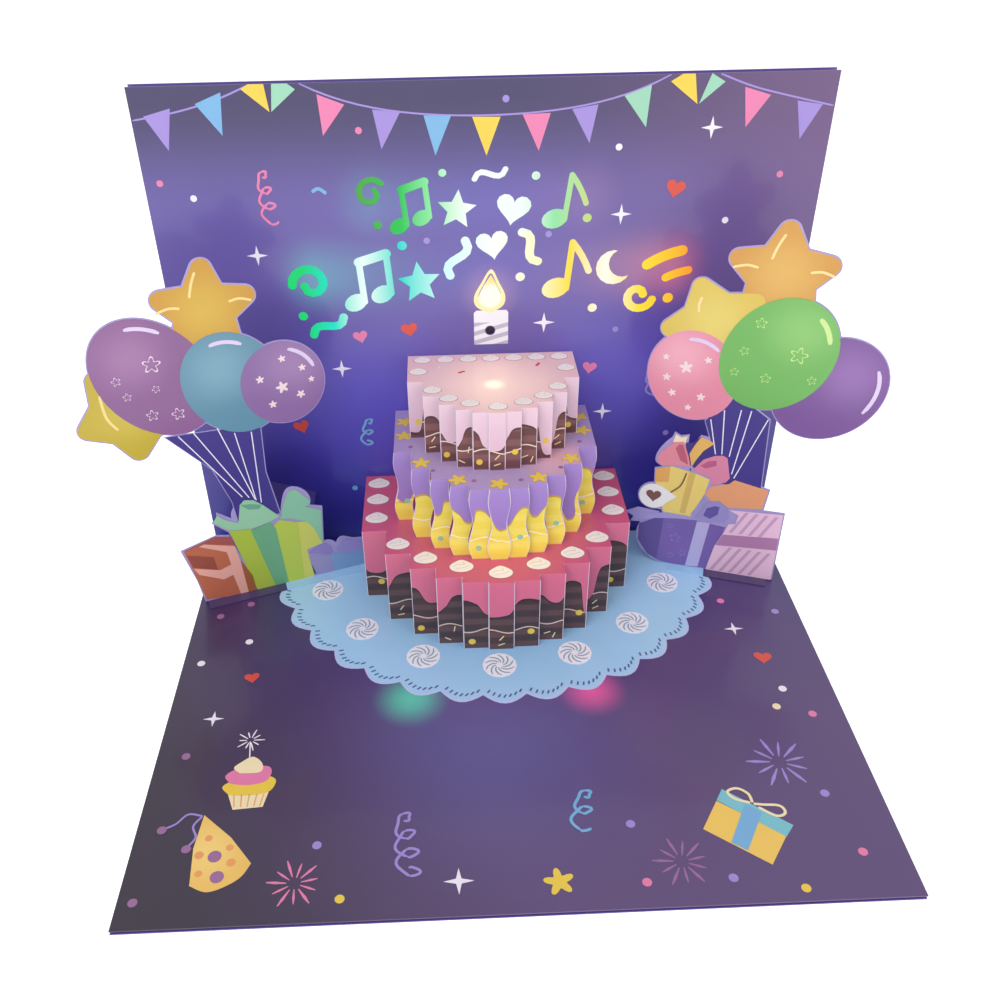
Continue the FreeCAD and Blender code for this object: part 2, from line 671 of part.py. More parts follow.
RIM = "Sizes.speaker_diameter / 2"
SPEAKER_REAR = "(%s - 0.05)" % CORE_REAR
SPEAKER_FRONT = "(%s - Sizes.speaker_thickness)" % SPEAKER_REAR
CONE_EDGE = "(%s - Sizes.basket_rim)" % RIM
speaker_basket = turned_piece("speaker_basket", [
    ("0", SPEAKER_REAR), (RIM, SPEAKER_REAR), (RIM, SPEAKER_FRONT), (CONE_EDGE, SPEAKER_FRONT),
    (CONE_EDGE, SPEAKER_REAR + " - Sizes.basket_wall"),
    ("0", SPEAKER_REAR + " - Sizes.basket_wall")],
    "Sizes.speaker_x", "Sizes.speaker_z")
CONE_REAR = "(%s + Sizes.cone_thickness)" % SPEAKER_FRONT
speaker_cone = turned_piece("speaker_cone", [
    ("0", CONE_REAR), (CONE_EDGE, CONE_REAR), (CONE_EDGE, SPEAKER_FRONT), ("0", SPEAKER_FRONT)],
    "Sizes.speaker_x", "Sizes.speaker_z")

MIC_EDGE = "Sizes.mic_diameter / 2"
MIC_REAR = "(%s - Sizes.lead_thickness / 2)" % LEAD_Y
microphone = turned_piece("microphone", [
    ("0", "Sizes.inner_ply + 0.35"), ("Sizes.mic_hole / 2 - 0.35", "Sizes.inner_ply + 0.35"),
    ("Sizes.mic_hole / 2 - 0.35", "Sizes.inner_ply"), (MIC_EDGE + " - 0.25", "Sizes.inner_ply"),
    (MIC_EDGE, "Sizes.inner_ply + 0.25"), (MIC_EDGE, MIC_REAR), ("0", MIC_REAR)],
    "Sizes.cake_centre", MIC_HEIGHT)

# Switch that the opening card works: a tongue glued in the base is drawn out of its jaws
SWITCH_LOW = above_base("Sizes.switch_bottom")
SWITCH_FRONT = "(%s - Sizes.switch_thickness)" % CORE_REAR
contact_switch = new_body("contact_switch")
pad(contact_switch, sketch_on(contact_switch, "XZ_Plane", [rectangle(
    "Sizes.switch_left", SWITCH_LOW, "Sizes.switch_left + Sizes.switch_width",
    SWITCH_LOW + " + Sizes.switch_height")], "-%s" % SWITCH_FRONT), "Sizes.switch_thickness", True)
JAW_LOW = "%s + Sizes.switch_thickness / 2 - Sizes.tongue_thickness" % SWITCH_FRONT
JAW_HIGH = "%s + Sizes.switch_thickness / 2 + Sizes.tongue_thickness" % SWITCH_FRONT
pocket(contact_switch, sketch_on(contact_switch, "XY_Plane", [rectangle(
    TONGUE_LEFT + " - 0.3", JAW_LOW, TONGUE_RIGHT + " + 0.3", JAW_HIGH)],
    SWITCH_LOW), "Sizes.switch_height - 1.5", True)

TONGUE_Z = "(%s - Sizes.tongue_thickness)" % INNER_LOW
TONGUE_Y = "(%s + Sizes.switch_thickness / 2 - Sizes.tongue_thickness / 2)" % SWITCH_FRONT
TONGUE_TOP = SWITCH_LOW + " + Sizes.switch_height - 2.5"
pull_tongue = folded("pull_tongue", [
    ("-Sizes.tongue_reach", TONGUE_Z), (TONGUE_Y + " + Sizes.tongue_thickness", TONGUE_Z),
    (TONGUE_Y + " + Sizes.tongue_thickness", TONGUE_TOP), (TONGUE_Y, TONGUE_TOP),
    (TONGUE_Y, TONGUE_Z + " + Sizes.tongue_thickness"),
    ("-Sizes.tongue_reach", TONGUE_Z + " + Sizes.tongue_thickness")],
    TONGUE_LEFT, "Sizes.tongue_width")

# Lamp strip behind the windows, with its lamps, and the flat leads between the pieces
STRIP_FRONT = "(%s - Sizes.strip_thickness)" % CORE_REAR
STRIP_L = "(Sizes.cake_centre - Sizes.strip_width / 2)"
STRIP_R = "(Sizes.cake_centre + Sizes.strip_width / 2)"


def band(height, edge):
    return above_base("(%s %s Sizes.strip_width / 2)" % (height, edge))


ROW_HALF_LOW = "(2.5 * Sizes.lamp_pitch_low + Sizes.strip_width)"
ROW_HALF_HIGH = "(Sizes.lamp_pitch_high + Sizes.strip_width)"
lamp_strip = upright("lamp_strip", [[
    (BOARD_RIGHT, band("Sizes.strip_height", "-")), (STRIP_R, band("Sizes.strip_height", "-")),
    (STRIP_R, band(ROW_LOW, "-")), (ROW_HALF_LOW, band(ROW_LOW, "-")),
    (ROW_HALF_LOW, band(ROW_LOW, "+")), (STRIP_R, band(ROW_LOW, "+")),
    (STRIP_R, band(ROW_HIGH, "-")), (ROW_HALF_HIGH, band(ROW_HIGH, "-")),
    (ROW_HALF_HIGH, band(ROW_HIGH, "+")),
    ("-" + ROW_HALF_HIGH, band(ROW_HIGH, "+")),
    ("-" + ROW_HALF_HIGH, band(ROW_HIGH, "-")),
    (STRIP_L, band(ROW_HIGH, "-")), (STRIP_L, band(ROW_LOW, "+")),
    ("-" + ROW_HALF_LOW, band(ROW_LOW, "+")),
    ("-" + ROW_HALF_LOW, band(ROW_LOW, "-")),
    (STRIP_L, band(ROW_LOW, "-")), (STRIP_L, band("Sizes.strip_height", "+")),
    (BOARD_RIGHT, band("Sizes.strip_height", "+"))]], STRIP_FRONT, "Sizes.strip_thickness")

LAMP_PLACES = [("%s * Sizes.lamp_pitch_low" % (k - 2.5), ROW_LOW) for k in range(6)]
LAMP_PLACES += [("%s * Sizes.lamp_pitch_high" % k, ROW_HIGH) for k in (-1, 0, 1)]
LAMP_PLACES += [("Sizes.cake_centre", FLAME_BASE + " + Sizes.flame_height / 2")]
lamp_members = []
for number, (x, height) in enumerate(LAMP_PLACES, start=1):
    lamp_members.append(box(
        "window_lamp_%d" % number, "Sizes.lamp_length", "Sizes.lamp_height", "Sizes.lamp_width",
        "%s - Sizes.lamp_length / 2" % x, "%s - Sizes.lamp_height" % STRIP_FRONT,
        above_base("(%s - Sizes.lamp_width / 2)" % height)))
window_lamps = group("window_lamps", lamp_members)

for label, x in (("green_lamp", "-Sizes.base_lamp_x"), ("pink_lamp", "Sizes.base_lamp_x")):
    box(label, "Sizes.lamp_length", "Sizes.lamp_width", "Sizes.base_lamp_height",
        "%s - Sizes.lamp_length / 2" % x, "Sizes.base_lamp_y - Sizes.lamp_width / 2",
        "Sizes.cover_ply")
CAKE_UNDER = "(%s - Sizes.popup_ply)" % CAKE_TOP
cake_lamp = box("cake_lamp", "Sizes.lamp_length", "Sizes.lamp_width", "Sizes.lamp_height",
                "Sizes.cake_centre - Sizes.lamp_length / 2",
                "Sizes.cake_lamp_y - Sizes.lamp_width / 2", CAKE_UNDER + " - Sizes.lamp_height")

LEAD_FRONT = "(%s - Sizes.lead_thickness / 2)" % LEAD_Y
LEAD_BACK = "(%s + Sizes.lead_thickness / 2)" % LEAD_Y


def flat_lead(label, corners):
    """A flat lead in the plane of the board; corners of its outline as (x, height)."""
    return upright(label, [[(x, above_base("(%s)" % z)) for x, z in corners]],
                   LEAD_FRONT, "Sizes.lead_thickness")


WIDE = "Sizes.lead_width"
speaker_leads = flat_lead("speaker_leads", rectangle(
    BOARD_RIGHT, "Sizes.speaker_z - Sizes.lead_width / 2",
    "Sizes.speaker_x - 0.37 * Sizes.speaker_diameter", "Sizes.speaker_z + Sizes.lead_width / 2"))
MIC_LEAD = "(Sizes.cake_centre - 1.8)"
mic_leads = flat_lead("mic_leads", [
    (BOARD_RIGHT, "Sizes.mic_lead_height"), (MIC_LEAD + " + " + WIDE, "Sizes.mic_lead_height"),
    (MIC_LEAD + " + " + WIDE, MIC_HEIGHT + " + 0.5"), (MIC_LEAD, MIC_HEIGHT + " + 0.5"),
    (MIC_LEAD, "Sizes.mic_lead_height + " + WIDE), (BOARD_RIGHT, "Sizes.mic_lead_height + " + WIDE)])
SWITCH_LEAD = "(Sizes.switch_left + 2)"
SWITCH_TOP = "Sizes.switch_bottom + Sizes.switch_height"
switch_leads = flat_lead("switch_leads", [
    (BOARD_RIGHT, "Sizes.switch_lead_height"), (SWITCH_LEAD, "Sizes.switch_lead_height"),
    (SWITCH_LEAD, SWITCH_TOP), (SWITCH_LEAD + " + " + WIDE, SWITCH_TOP),
    (SWITCH_LEAD + " + " + WIDE, "Sizes.switch_lead_height + " + WIDE),
    (BOARD_RIGHT, "Sizes.switch_lead_height + " + WIDE)])
CELL_LEAD = "Sizes.holder_bottom + Sizes.holder_height - 4"
cell_leads = flat_lead("cell_leads", rectangle(
    BOARD_RIGHT, CELL_LEAD, "Sizes.holder_left", CELL_LEAD + " + " + WIDE))


def base_lamp_lead(label, place, level, rise):
    """A flat lead from a base lamp along its channel, round the spine and up to the board."""
    rear = "Sizes.base_lamp_y + Sizes.lamp_width / 2"
    low = "(Sizes.cover_ply + 0.1)"
    turn_low, turn_high = above_base(level), above_base("(%s + %s)" % (level, WIDE))
    edge, end = "(%s + %s / 2)" % (place, WIDE), "(%s - %s)" % (BOARD_RIGHT, rise)
    body = folded(label, [
        (rear, low), (LEAD_BACK, low), (LEAD_BACK, turn_high), (LEAD_FRONT, turn_high),
        (LEAD_FRONT, low + " + Sizes.lead_thickness"), (rear, low + " + Sizes.lead_thickness")],
        "%s - %s / 2" % (place, WIDE), WIDE)
    pad(body, sketch_on(body, "XZ_Plane", [[
        (edge, turn_low), (edge, turn_high), (end, turn_high), (end, BOARD_LOW),
        (end + " - " + WIDE, BOARD_LOW), (end + " - " + WIDE, turn_low)]],
        "-%s" % LEAD_FRONT), "Sizes.lead_thickness", True)
    return body


green_lamp_lead = base_lamp_lead("green_lamp_lead", "-Sizes.base_lamp_x",
                                 "Sizes.holder_bottom - 8", "5.5")
pink_lamp_lead = base_lamp_lead("pink_lamp_lead", "Sizes.base_lamp_x",
                                "Sizes.holder_bottom - 4", "2")

LEAD = "Sizes.lead_thickness"
LAMP_REAR = "(Sizes.cake_lamp_y + Sizes.lamp_width / 2)"
CROSSING = "(%s + %s + %s + 0.3)" % (BASE_TOP, LEAD_HOLE_LOW, LEAD)
cake_lamp_lead = folded("cake_lamp_lead", [
    (LAMP_REAR, CAKE_UNDER), ("-Sizes.popup_ply", CAKE_UNDER), ("-Sizes.popup_ply", CROSSING),
    (STRIP_FRONT, CROSSING), (STRIP_FRONT, CROSSING + " - 3"),
    (STRIP_FRONT + " - " + LEAD, CROSSING + " - 3"),
    (STRIP_FRONT + " - " + LEAD, CROSSING + " - " + LEAD),
    ("-Sizes.popup_ply - " + LEAD, CROSSING + " - " + LEAD),
    ("-Sizes.popup_ply - " + LEAD, CAKE_UNDER + " - " + LEAD),
    (LAMP_REAR, CAKE_UNDER + " - " + LEAD)], "Sizes.cake_centre + 0.3", "Sizes.lead_width")

# Cake: each tier is one sheet, cut into strips across its front. Every strip folds over the top at
# its own depth, so that the open card draws the fronts out into a round cake.
strip_count = int(size("strip_count"))
STRIPS = [k - (strip_count - 1) / 2 for k in range(strip_count)]


def strip_reach(tier, place):
    """How far a strip stands out from the back panel: the fronts lie on an ellipse."""
    return ("(Sizes.%s_depth * sqrt(1 - (2 * %s / (Sizes.%s_roundness * Sizes.strip_count))^2))"
            % (tier, abs(place), tier))


def strip_edge(tier, place):
    """Left edge of a strip; the place half a strip on is its right edge."""
    return "(Sizes.cake_centre + (%s) * Sizes.%s_strip)" % (place - 0.5, tier)


def straight_tier(tier, floor):
    """A tier whose strips are cut straight: rear tab, top, front and foot tab in one section."""
    body = new_body(tier + "_tier")
    top = "(%s + Sizes.%s_height)" % (floor, tier)
    ply = "Sizes.popup_ply"
    slits = []
    for k, place in enumerate(STRIPS):
        reach = strip_reach(tier, place)
        foot = "-%s + Sizes.glue_tab" % reach
        section = [
            ("0", top + " - Sizes.rear_tab"), ("0", top), ("-" + reach, top), ("-" + reach, floor),
            (foot, floor), (foot, "%s + %s" % (floor, ply)),
            ("-%s + %s" % (reach, ply), "%s + %s" % (floor, ply)),
            ("-%s + %s" % (reach, ply), "%s - %s" % (top, ply)), ("-" + ply, "%s - %s" % (top, ply)),
            ("-" + ply, top + " - Sizes.rear_tab")]
        pad(body, sketch_on(body, "YZ_Plane", [section], strip_edge(tier, place)),
            "Sizes.%s_strip" % tier)
        if k > 0:
            beside = strip_reach(tier, place - 1)
            far, near = (beside, reach) if place > 0 else (reach, beside)
            edge = strip_edge(tier, place)
            slits.append(rectangle(
                edge + " - Sizes.tab_slit / 2", "-%s + %s" % (far, ply),
                edge + " + Sizes.tab_slit / 2", "-%s + Sizes.glue_tab" % near))
    pocket(body, sketch_on(body, "XY_Plane", slits, floor), ply, True)
    return body


WAVE_STEPS = 14


def wave(share):
    """How far a wavy cut swings outwards at a share of the way down a front."""
    return (0.35 + 0.6 * share) * math.sin(2 * math.pi * (1.55 * share + 0.12 * share * (1 - share)))


def wavy_tier(tier, floor_height):
    """A tier whose strips are parted by wavy cuts, so that the icing seems to run down."""
    floor, ply = value(floor_height), size("popup_ply")
    top = floor + size(tier + "_height")
    tab, slit = size("glue_tab"), size("tab_slit")
    middle, swing = size("cake_centre"), size("wave_size")
    steps, pieces = [], []
    for place in STRIPS:
        left, right = value(strip_edge(tier, place)), value(strip_edge(tier, place + 1))
        reach = value(strip_reach(tier, place))
        sides = []
        for edge in (left, right):
            outwards = math.copysign(swing, edge - middle)
            sides.append([(edge + outwards * wave(k / WAVE_STEPS),
                           top - (top - floor) * k / WAVE_STEPS) for k in range(WAVE_STEPS + 1)])
        left_side, right_side = sides
        front = polygon(left_side + right_side[::-1])
        front.translate(Vector(0, -reach, 0))
        pieces.append(front.extrude(Vector(0, ply, 0)))
        foot_left, foot_right = left_side[-1][0] + slit / 2, right_side[-1][0] - slit / 2
        pieces.append(Part.makeBox(foot_right - foot_left, tab, ply,
                                   Vector(foot_left, -reach, floor)))
        steps += [Vector(left, -reach, top - ply), Vector(right, -reach, top - ply)]
    back_left = Vector(steps[0].x, 0, top - ply)
    back_right = Vector(steps[-1].x, 0, top - ply)
    outline = [back_left] + steps + [back_right, back_left]
    panel = Part.Face(Part.makePolygon(outline)).extrude(Vector(0, 0, ply))
    pieces.append(Part.makeBox(back_right.x - back_left.x, ply, size("rear_tab"),
                               Vector(back_left.x, -ply, top - size("rear_tab"))))
    return solid(tier + "_tier", panel.fuse(pieces).removeSplitter())


def polyline(points):
    return Part.makeLine(*(Vector(x, 0, z) for x, z in points))


bottom_tier = straight_tier("bottom", BASE_TOP)
middle_tier = wavy_tier("middle", MIDDLE_FLOOR)
top_tier = straight_tier("top", TOP_FLOOR)


# Wings: die-cut panels that stand on slanting folds, one each side of the cake. Each face below is
# drawn on its panel: sideways from the panel's inner end at the spine, and up from the base.

def blob(points):
    """A soft closed outline through a few points."""
    return Part.Face(Part.Wire(curve(points, closed=True)))


def mirrored(points):
    return [(-x, z) for x, z in points]


LEFT_WING = [
    oval(-104.5, 84.8, 21.1, 15.7, 123),
    oval(-82.3, 78.9, 17.7, 14.9, 116),
    oval(-67.6, 76.2, 14.0, 13.2, 95),
    puffy_star(-87.0, 103.0, 15.6, 8.8, 85),
    puffy_star(-112.8, 75.8, 16.8, 11.5, 52),
    polygon(mirrored([(105.4, 65.3), (93.5, 50.9), (89.3, 37.6), (88.5, 29.0), (74.2, 29.0),
                      (76.8, 46.3), (76.2, 63.8)])),
    polygon(mirrored([(92.3, 27.2), (88.7, 30.0), (74.2, 29.3), (65.5, 30.3), (60.3, 28.5),
                      (61.3, 13.0), (67.6, 11.9), (65.9, 0), (85.3, 0)])),
    blob(mirrored([(89.2, 28.5), (87.4, 37.0), (84.3, 38.3), (80.6, 35.3), (77.0, 29.5), (82.0, 27.0)])),
    blob(mirrored([(74.6, 28.5), (73.2, 34.5), (70.6, 38.4), (67.2, 37.6), (64.0, 31.5), (68.0, 27.0)])),
    polygon(mirrored([(88.9, 30.2), (94.7, 34.8), (94.8, 32.4), (96.8, 31.1), (91.8, 26.0)])),
    polygon(mirrored([(85.3, 0), (92.0, 25.0), (96.1, 26.1), (108.2, 23.0), (105.1, 9.7), (103.8, 0)])),
    polygon(mirrored([(68.6, 13.5), (64.9, 0), (46.4, 0), (46.5, 8.0), (57.8, 9.4), (60.3, 13.5)])),
    blob(mirrored([(62.8, 11.0), (61.8, 13.8), (59.0, 13.9), (56.5, 9.5), (59.5, 8.5)])),
    blob(mirrored([(57.8, 9.0), (54.0, 14.1), (50.3, 12.4), (46.9, 11.5), (48.5, 6.5), (54.0, 7.0)])),
]

purple_side = curve([(63.0, 20.5), (54.4, 15.6), (54.0, 8.6), (57.8, 2.9), (62.5, 0.4)])
purple_corners = [(62.5, 0.4), (67.0, 0), (78.6, 0), (83.5, 19.3), (72.7, 21.1), (63.0, 20.5)]
purple_gift = Part.Face(Part.Wire([purple_side] + [
    polyline(purple_corners[k:k + 2]) for k in range(len(purple_corners) - 1)]))
RIGHT_WING = [
    oval(66.3, 73.9, 15.6, 14.1, 110),
    oval(90.5, 83.8, 19.8, 16.2, 59),
    oval(106.7, 74.6, 18.4, 15.6, 53),
    puffy_star(87.8, 108.5, 16.3, 9.8, 90),
    puffy_star(71.5, 90.5, 16.8, 11.3, 114.5),
    polygon([(71.7, 58.9), (76.4, 46.0), (78.0, 36.0), (92.8, 35.0), (91.7, 62.1), (80.0, 70.0)]),
    blob([(57.6, 42.0), (60.0, 48.5), (64.2, 52.0), (68.6, 45.5), (69.4, 40.5), (63.0, 39.0)]),
    polygon([(61.5, 49.0), (63.0, 53.3), (65.0, 52.2), (67.7, 53.0), (67.5, 46.0)]),
    polygon([(67.4, 40.5), (69.6, 49.9), (71.3, 53.3), (74.0, 52.9), (76.7, 51.2), (73.0, 43.0)]),
    blob([(69.5, 41.0), (75.8, 47.3), (81.1, 46.3), (83.0, 39.5), (76.5, 36.5)]),
    polygon([(57.7, 38.8), (64.5, 41.0), (76.3, 37.3), (70.7, 20.5), (62.0, 20.5), (58.0, 33.0)]),
    disc(58.3, 27.7, 5.3),
    polygon([(59.5, 32.8), (66.5, 30.5), (66.5, 22.0), (59.5, 22.6)]),
    polygon([(76.0, 38.5), (82.5, 40.0), (95.5, 36.4), (94.5, 27.0), (84.0, 19.0), (71.0, 19.0)]),
    polygon([(49.5, 19.8), (52.2, 18.2), (51.2, 15.9), (57.0, 16.5), (61.0, 21.5), (53.5, 22.0)]),
    purple_gift,
    polygon([(83.8, 27.9), (101.5, 28.2), (101.5, 0), (78.6, 0), (82.0, 19.3)]),
    polygon([(70.0, 20.0), (75.0, 30.9), (77.5, 24.0)]),
    oval(80.2, 26.0, 4.4, 3.5, 20),
]


def wing(label, side, faces, foot_start, foot_end):
    """A panel with its front face on the fold's plane, and a foot tab that is glued in front."""
    ply, foot_reach = size("popup_ply"), size("wing_foot")
    panel = prisms(faces, 0, ply)
    foot = Part.makeBox(foot_end - foot_start, foot_reach + ply, ply,
                        Vector(min(side * foot_start, side * foot_end), -foot_reach, 0))
    turn = FreeCAD.Rotation(Vector(0, 0, 1), -side * size("wing_angle"))
    return solid(label, panel.fuse(foot).removeSplitter(),
                 FreeCAD.Placement(Vector(0, 0, value(BASE_TOP)), turn))


left_wing = wing("left_wing", -1, LEFT_WING, 50.0, 103.0)
right_wing = wing("right_wing", 1, RIGHT_WING, 66.0, 99.5)


def arm(label, side):
    """A strut from the back panel to a wing, along the fold line that mirrors the wing's foot."""
    angle, ply, tab = math.radians(size("wing_angle")), size("popup_ply"), size("arm_tab")
    along = Vector(side * math.cos(angle), 0, math.sin(angle))
    down = Vector(side * math.sin(angle), 0, -math.cos(angle))
    wall, panel = [], []
    for distance in (size("arm_start"), size("arm_start") + size("arm_length")):
        point = Vector(0, 0, value(BASE_TOP)) + along * distance
        wall.append(point)
        panel.append(point - Vector(0, distance * math.sin(angle) - ply / math.cos(angle), 0))
    to_wall = Vector(side * math.sin(angle), math.cos(angle), 0)
    fall = (panel[1] - panel[0]).normalize().cross(to_wall)
    if fall.z > 0:
        fall = -fall
    plate_corners = [wall[0], wall[1], panel[1], panel[0], wall[0]]
    pieces = [Part.Face(Part.makePolygon(plate_corners)).extrude(down * ply)]
    for start, end, lower, inwards in ((wall[0], wall[1], down, Vector(0, -1, 0)),
                                       (panel[0], panel[1], fall, to_wall)):
        corners = [start, end, end + lower * tab, start + lower * tab, start]
        pieces.append(Part.Face(Part.makePolygon(corners)).extrude(inwards * ply))
    return solid(label, pieces[0].fuse(pieces[1:]).removeSplitter())


left_arm = arm("left_arm", -1)
right_arm = arm("right_arm", 1)

# Check every object and write each piece to its own file
PIECES = [
    "outer_cover", "inner_sheet", "back_spacer", "base_board", "diffuser_film", "circuit_board",
    "chip_cap", "board_parts", "cell_holder", "cells", "cell_contact", "speaker_basket",
    "speaker_cone", "microphone", "contact_switch", "pull_tongue", "lamp_strip", "window_lamps",
    "green_lamp", "pink_lamp", "cake_lamp", "speaker_leads", "mic_leads", "switch_leads",
    "cell_leads", "green_lamp_lead", "pink_lamp_lead", "cake_lamp_lead", "bottom_tier",
    "middle_tier", "top_tier", "left_wing", "right_wing", "left_arm", "right_arm",
]
doc.recompute()
for item in doc.Objects:
    if "Invalid" in item.State or "Error" in item.State:
        raise ValueError("%s failed: %s" % (item.Label, item.State))
shapes = {}
for name in PIECES:
    shape = doc.getObjectsByLabel(name)[0].Shape
    if shape.isNull() or not shape.isValid() or not shape.Solids:
        raise ValueError("%s has no valid solid" % name)
    shapes[name] = shape
os.makedirs("parts", exist_ok=True)
for name, shape in shapes.items():
    shape.exportStep("parts/%s.step" % name)
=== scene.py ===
"""Birthday card that opens to a right angle, with lit windows, a strip-cut cake and paper wings.

World units are metres. Prints are laid out in millimetres: on the back panel as x and height above
the base, on the base as x and y, and on a wing outwards from the spine and up from its foot."""
import math

import bmesh
import bpy
from mathutils import Matrix, Vector


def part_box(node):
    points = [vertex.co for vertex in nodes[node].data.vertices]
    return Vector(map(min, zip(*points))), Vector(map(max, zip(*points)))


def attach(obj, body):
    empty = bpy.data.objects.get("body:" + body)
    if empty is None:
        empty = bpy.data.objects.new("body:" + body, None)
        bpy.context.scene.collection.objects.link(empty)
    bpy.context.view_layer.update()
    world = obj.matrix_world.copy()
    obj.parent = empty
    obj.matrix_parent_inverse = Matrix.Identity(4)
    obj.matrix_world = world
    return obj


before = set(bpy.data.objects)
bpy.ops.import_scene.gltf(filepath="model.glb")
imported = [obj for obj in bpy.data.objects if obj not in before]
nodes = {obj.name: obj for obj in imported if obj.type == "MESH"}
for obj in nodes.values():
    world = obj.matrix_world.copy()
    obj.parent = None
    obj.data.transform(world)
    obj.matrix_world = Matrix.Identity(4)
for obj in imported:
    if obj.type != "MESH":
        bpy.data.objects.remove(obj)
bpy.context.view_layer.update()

# Outer cover: one purple sheet of card with a satin laminate, folded along the spine. It is glued
# round the back and the underside, over both cores.
MM = 0.001


class Value:
    """A socket that can be calculated with, in the node tree that it belongs to."""

    def __init__(self, tree, socket):
        self.tree, self.socket = tree, socket

    def node(self, kind, settings=(), **inputs):
        """Add a node, give it its settings and inputs by socket identifier, and return its output."""
        node = self.tree.nodes.new(kind)
        settings = dict(settings)
        wanted = settings.pop("out", None)
        for name, setting in settings.items():
            setattr(node, name, setting)
        sockets = {socket.identifier: socket for socket in node.inputs}
        for name, given in inputs.items():
            socket = sockets[name]
            if isinstance(given, Value):
                self.tree.links.new(given.socket, socket)
            else:
                socket.default_value = given
        outputs = {socket.identifier: socket for socket in node.outputs if socket.enabled}
        return Value(self.tree, outputs[wanted] if wanted else next(iter(outputs.values())))

    def maths(self, operation, first, second=0.0):
        return self.node("ShaderNodeMath", {"operation": operation}, Value=first, Value_001=second)

    def __add__(self, other):
        return self.maths("ADD", self, other)

    def __radd__(self, other):
        return self.maths("ADD", other, self)

    def __sub__(self, other):
        return self.maths("SUBTRACT", self, other)

    def __rsub__(self, other):
        return self.maths("SUBTRACT", other, self)

    def __mul__(self, other):
        return self.maths("MULTIPLY", self, other)

    def __rmul__(self, other):
        return self.maths("MULTIPLY", other, self)

    def __truediv__(self, other):
        return self.maths("DIVIDE", self, other)

    def __abs__(self):
        return self.maths("ABSOLUTE", self)

    def above(self, other):
        return self.maths("GREATER_THAN", self, other)

    def below(self, other):
        return self.maths("LESS_THAN", self, other)

    def power(self, other):
        return self.maths("POWER", self, other)

    def highest(self, other):
        return self.maths("MAXIMUM", self, other)

    def sine(self):
        return self.maths("SINE", self)

    def fract(self):
        return self.maths("FRACT", self)

    def share(self, start, end, kind="LINEAR"):
        """0 before start and 1 after end, with an even change between them."""
        return self.node("ShaderNodeMapRange", {"interpolation_type": kind},
                         Value=self, **{"From Min": start, "From Max": end})

    def step(self, start, end):
        """0 before start and 1 after end, with a smooth change between them."""
        return self.share(start, end, "SMOOTHSTEP")

    def mix(self, first, second):
        """From the first colour to the second as this value goes from 0 to 1."""
        return self.node("ShaderNodeMix", {"data_type": "RGBA", "out": "Result_Color"},
                         Factor_Float=self, A_Color=first, B_Color=second)

    def curve(self, points):
        """This value read off a curve through the points (value, reading)."""
        result = self.node("ShaderNodeFloatCurve", (), Value=self)
        line = result.socket.node.mapping.curves[0]
        for number, (x, y) in enumerate(points):
            if number < 2:
                line.points[number].location = (x, y)
            else:
                line.points.new(x, y)
        result.socket.node.mapping.update()
        return result

    def ramp(self, stops):
        """This value turned into a colour along the stops (place, colour)."""
        result = self.node("ShaderNodeValToRGB", (), Fac=self)
        elements = result.socket.node.color_ramp.elements
        for number, (place, colour) in enumerate(stops):
            element = elements[number] if number < 2 else elements.new(place)
            element.position, element.color = place, colour
        return result


def ink(red, green, blue):
    """A printed colour, given as it looks on a screen."""
    def linear(part):
        part /= 255
        return part / 12.92 if part < 0.04045 else ((part + 0.055) / 1.055) ** 2.4
    return (linear(red), linear(green), linear(blue), 1)


class Finish:
    """A new material: its shader, the place of each point in millimetres, and its noise."""

    def __init__(self, name, roughness, coat=0.0):
        self.material = bpy.data.materials.new(name)
        self.material.use_nodes = True
        tree = self.material.node_tree
        self.shader = tree.nodes["Principled BSDF"]
        self.shader.inputs["Roughness"].default_value = roughness
        self.shader.inputs["Coat Weight"].default_value = coat
        self.shader.inputs["Coat Roughness"].default_value = 0.12
        start = Value(tree, None)
        self.start = start
        self.spot = start.node("ShaderNodeTexCoord", {"out": "Object"})
        parts = start.node("ShaderNodeSeparateXYZ", (), Vector=self.spot).socket.node.outputs
        self.x, self.y, self.z = (Value(tree, part) * 1000 for part in parts)

    def noise(self, scale, detail=2.0):
        """Smooth random values from 0 to 1, with `scale` lumps to a millimetre."""
        return self.start.node("ShaderNodeTexNoise", {"out": "Fac"}, Vector=self.spot,
                               Scale=scale * 1000, Detail=detail)

    def near(self, x, y, z, radius):
        """1 at a place given in millimetres, falling smoothly to 0 at the radius."""
        away = self.start.node("ShaderNodeVectorMath", {"operation": "DISTANCE", "out": "Value"},
                               Vector=self.spot, Vector_001=(x * MM, y * MM, z * MM))
        return 1 - (away * 1000).step(0, radius)

    def set(self, socket, given):
        if isinstance(given, Value):
            self.material.node_tree.links.new(given.socket, self.shader.inputs[socket])
        else:
            self.shader.inputs[socket].default_value = given

    def paint(self, colour, mottle=0.06, grain=0.0):
        """Base colour with a faint unevenness, and paper grain as a bump where it is asked for."""
        shade = self.start.node("ShaderNodeHueSaturation", (), Color=colour,
                                Value=1 - mottle / 2 + self.noise(0.08) * mottle)
        self.set("Base Color", shade)
        if grain:
            self.set("Normal", self.start.node("ShaderNodeBump", (), Strength=grain,
                Distance=0.00002, Height=self.noise(3.0, 4.0)))
        return self.material


def dress(material, *names):
    for name in names:
        nodes[name].material_slots[0].material = material


cover = Finish("cover_laminate", roughness=0.38, coat=0.3)
cover_purple = cover.noise(0.01).mix(ink(84, 66, 140), ink(96, 74, 158))
dress(cover.paint(cover_purple, grain=0.25), "outer_cover")

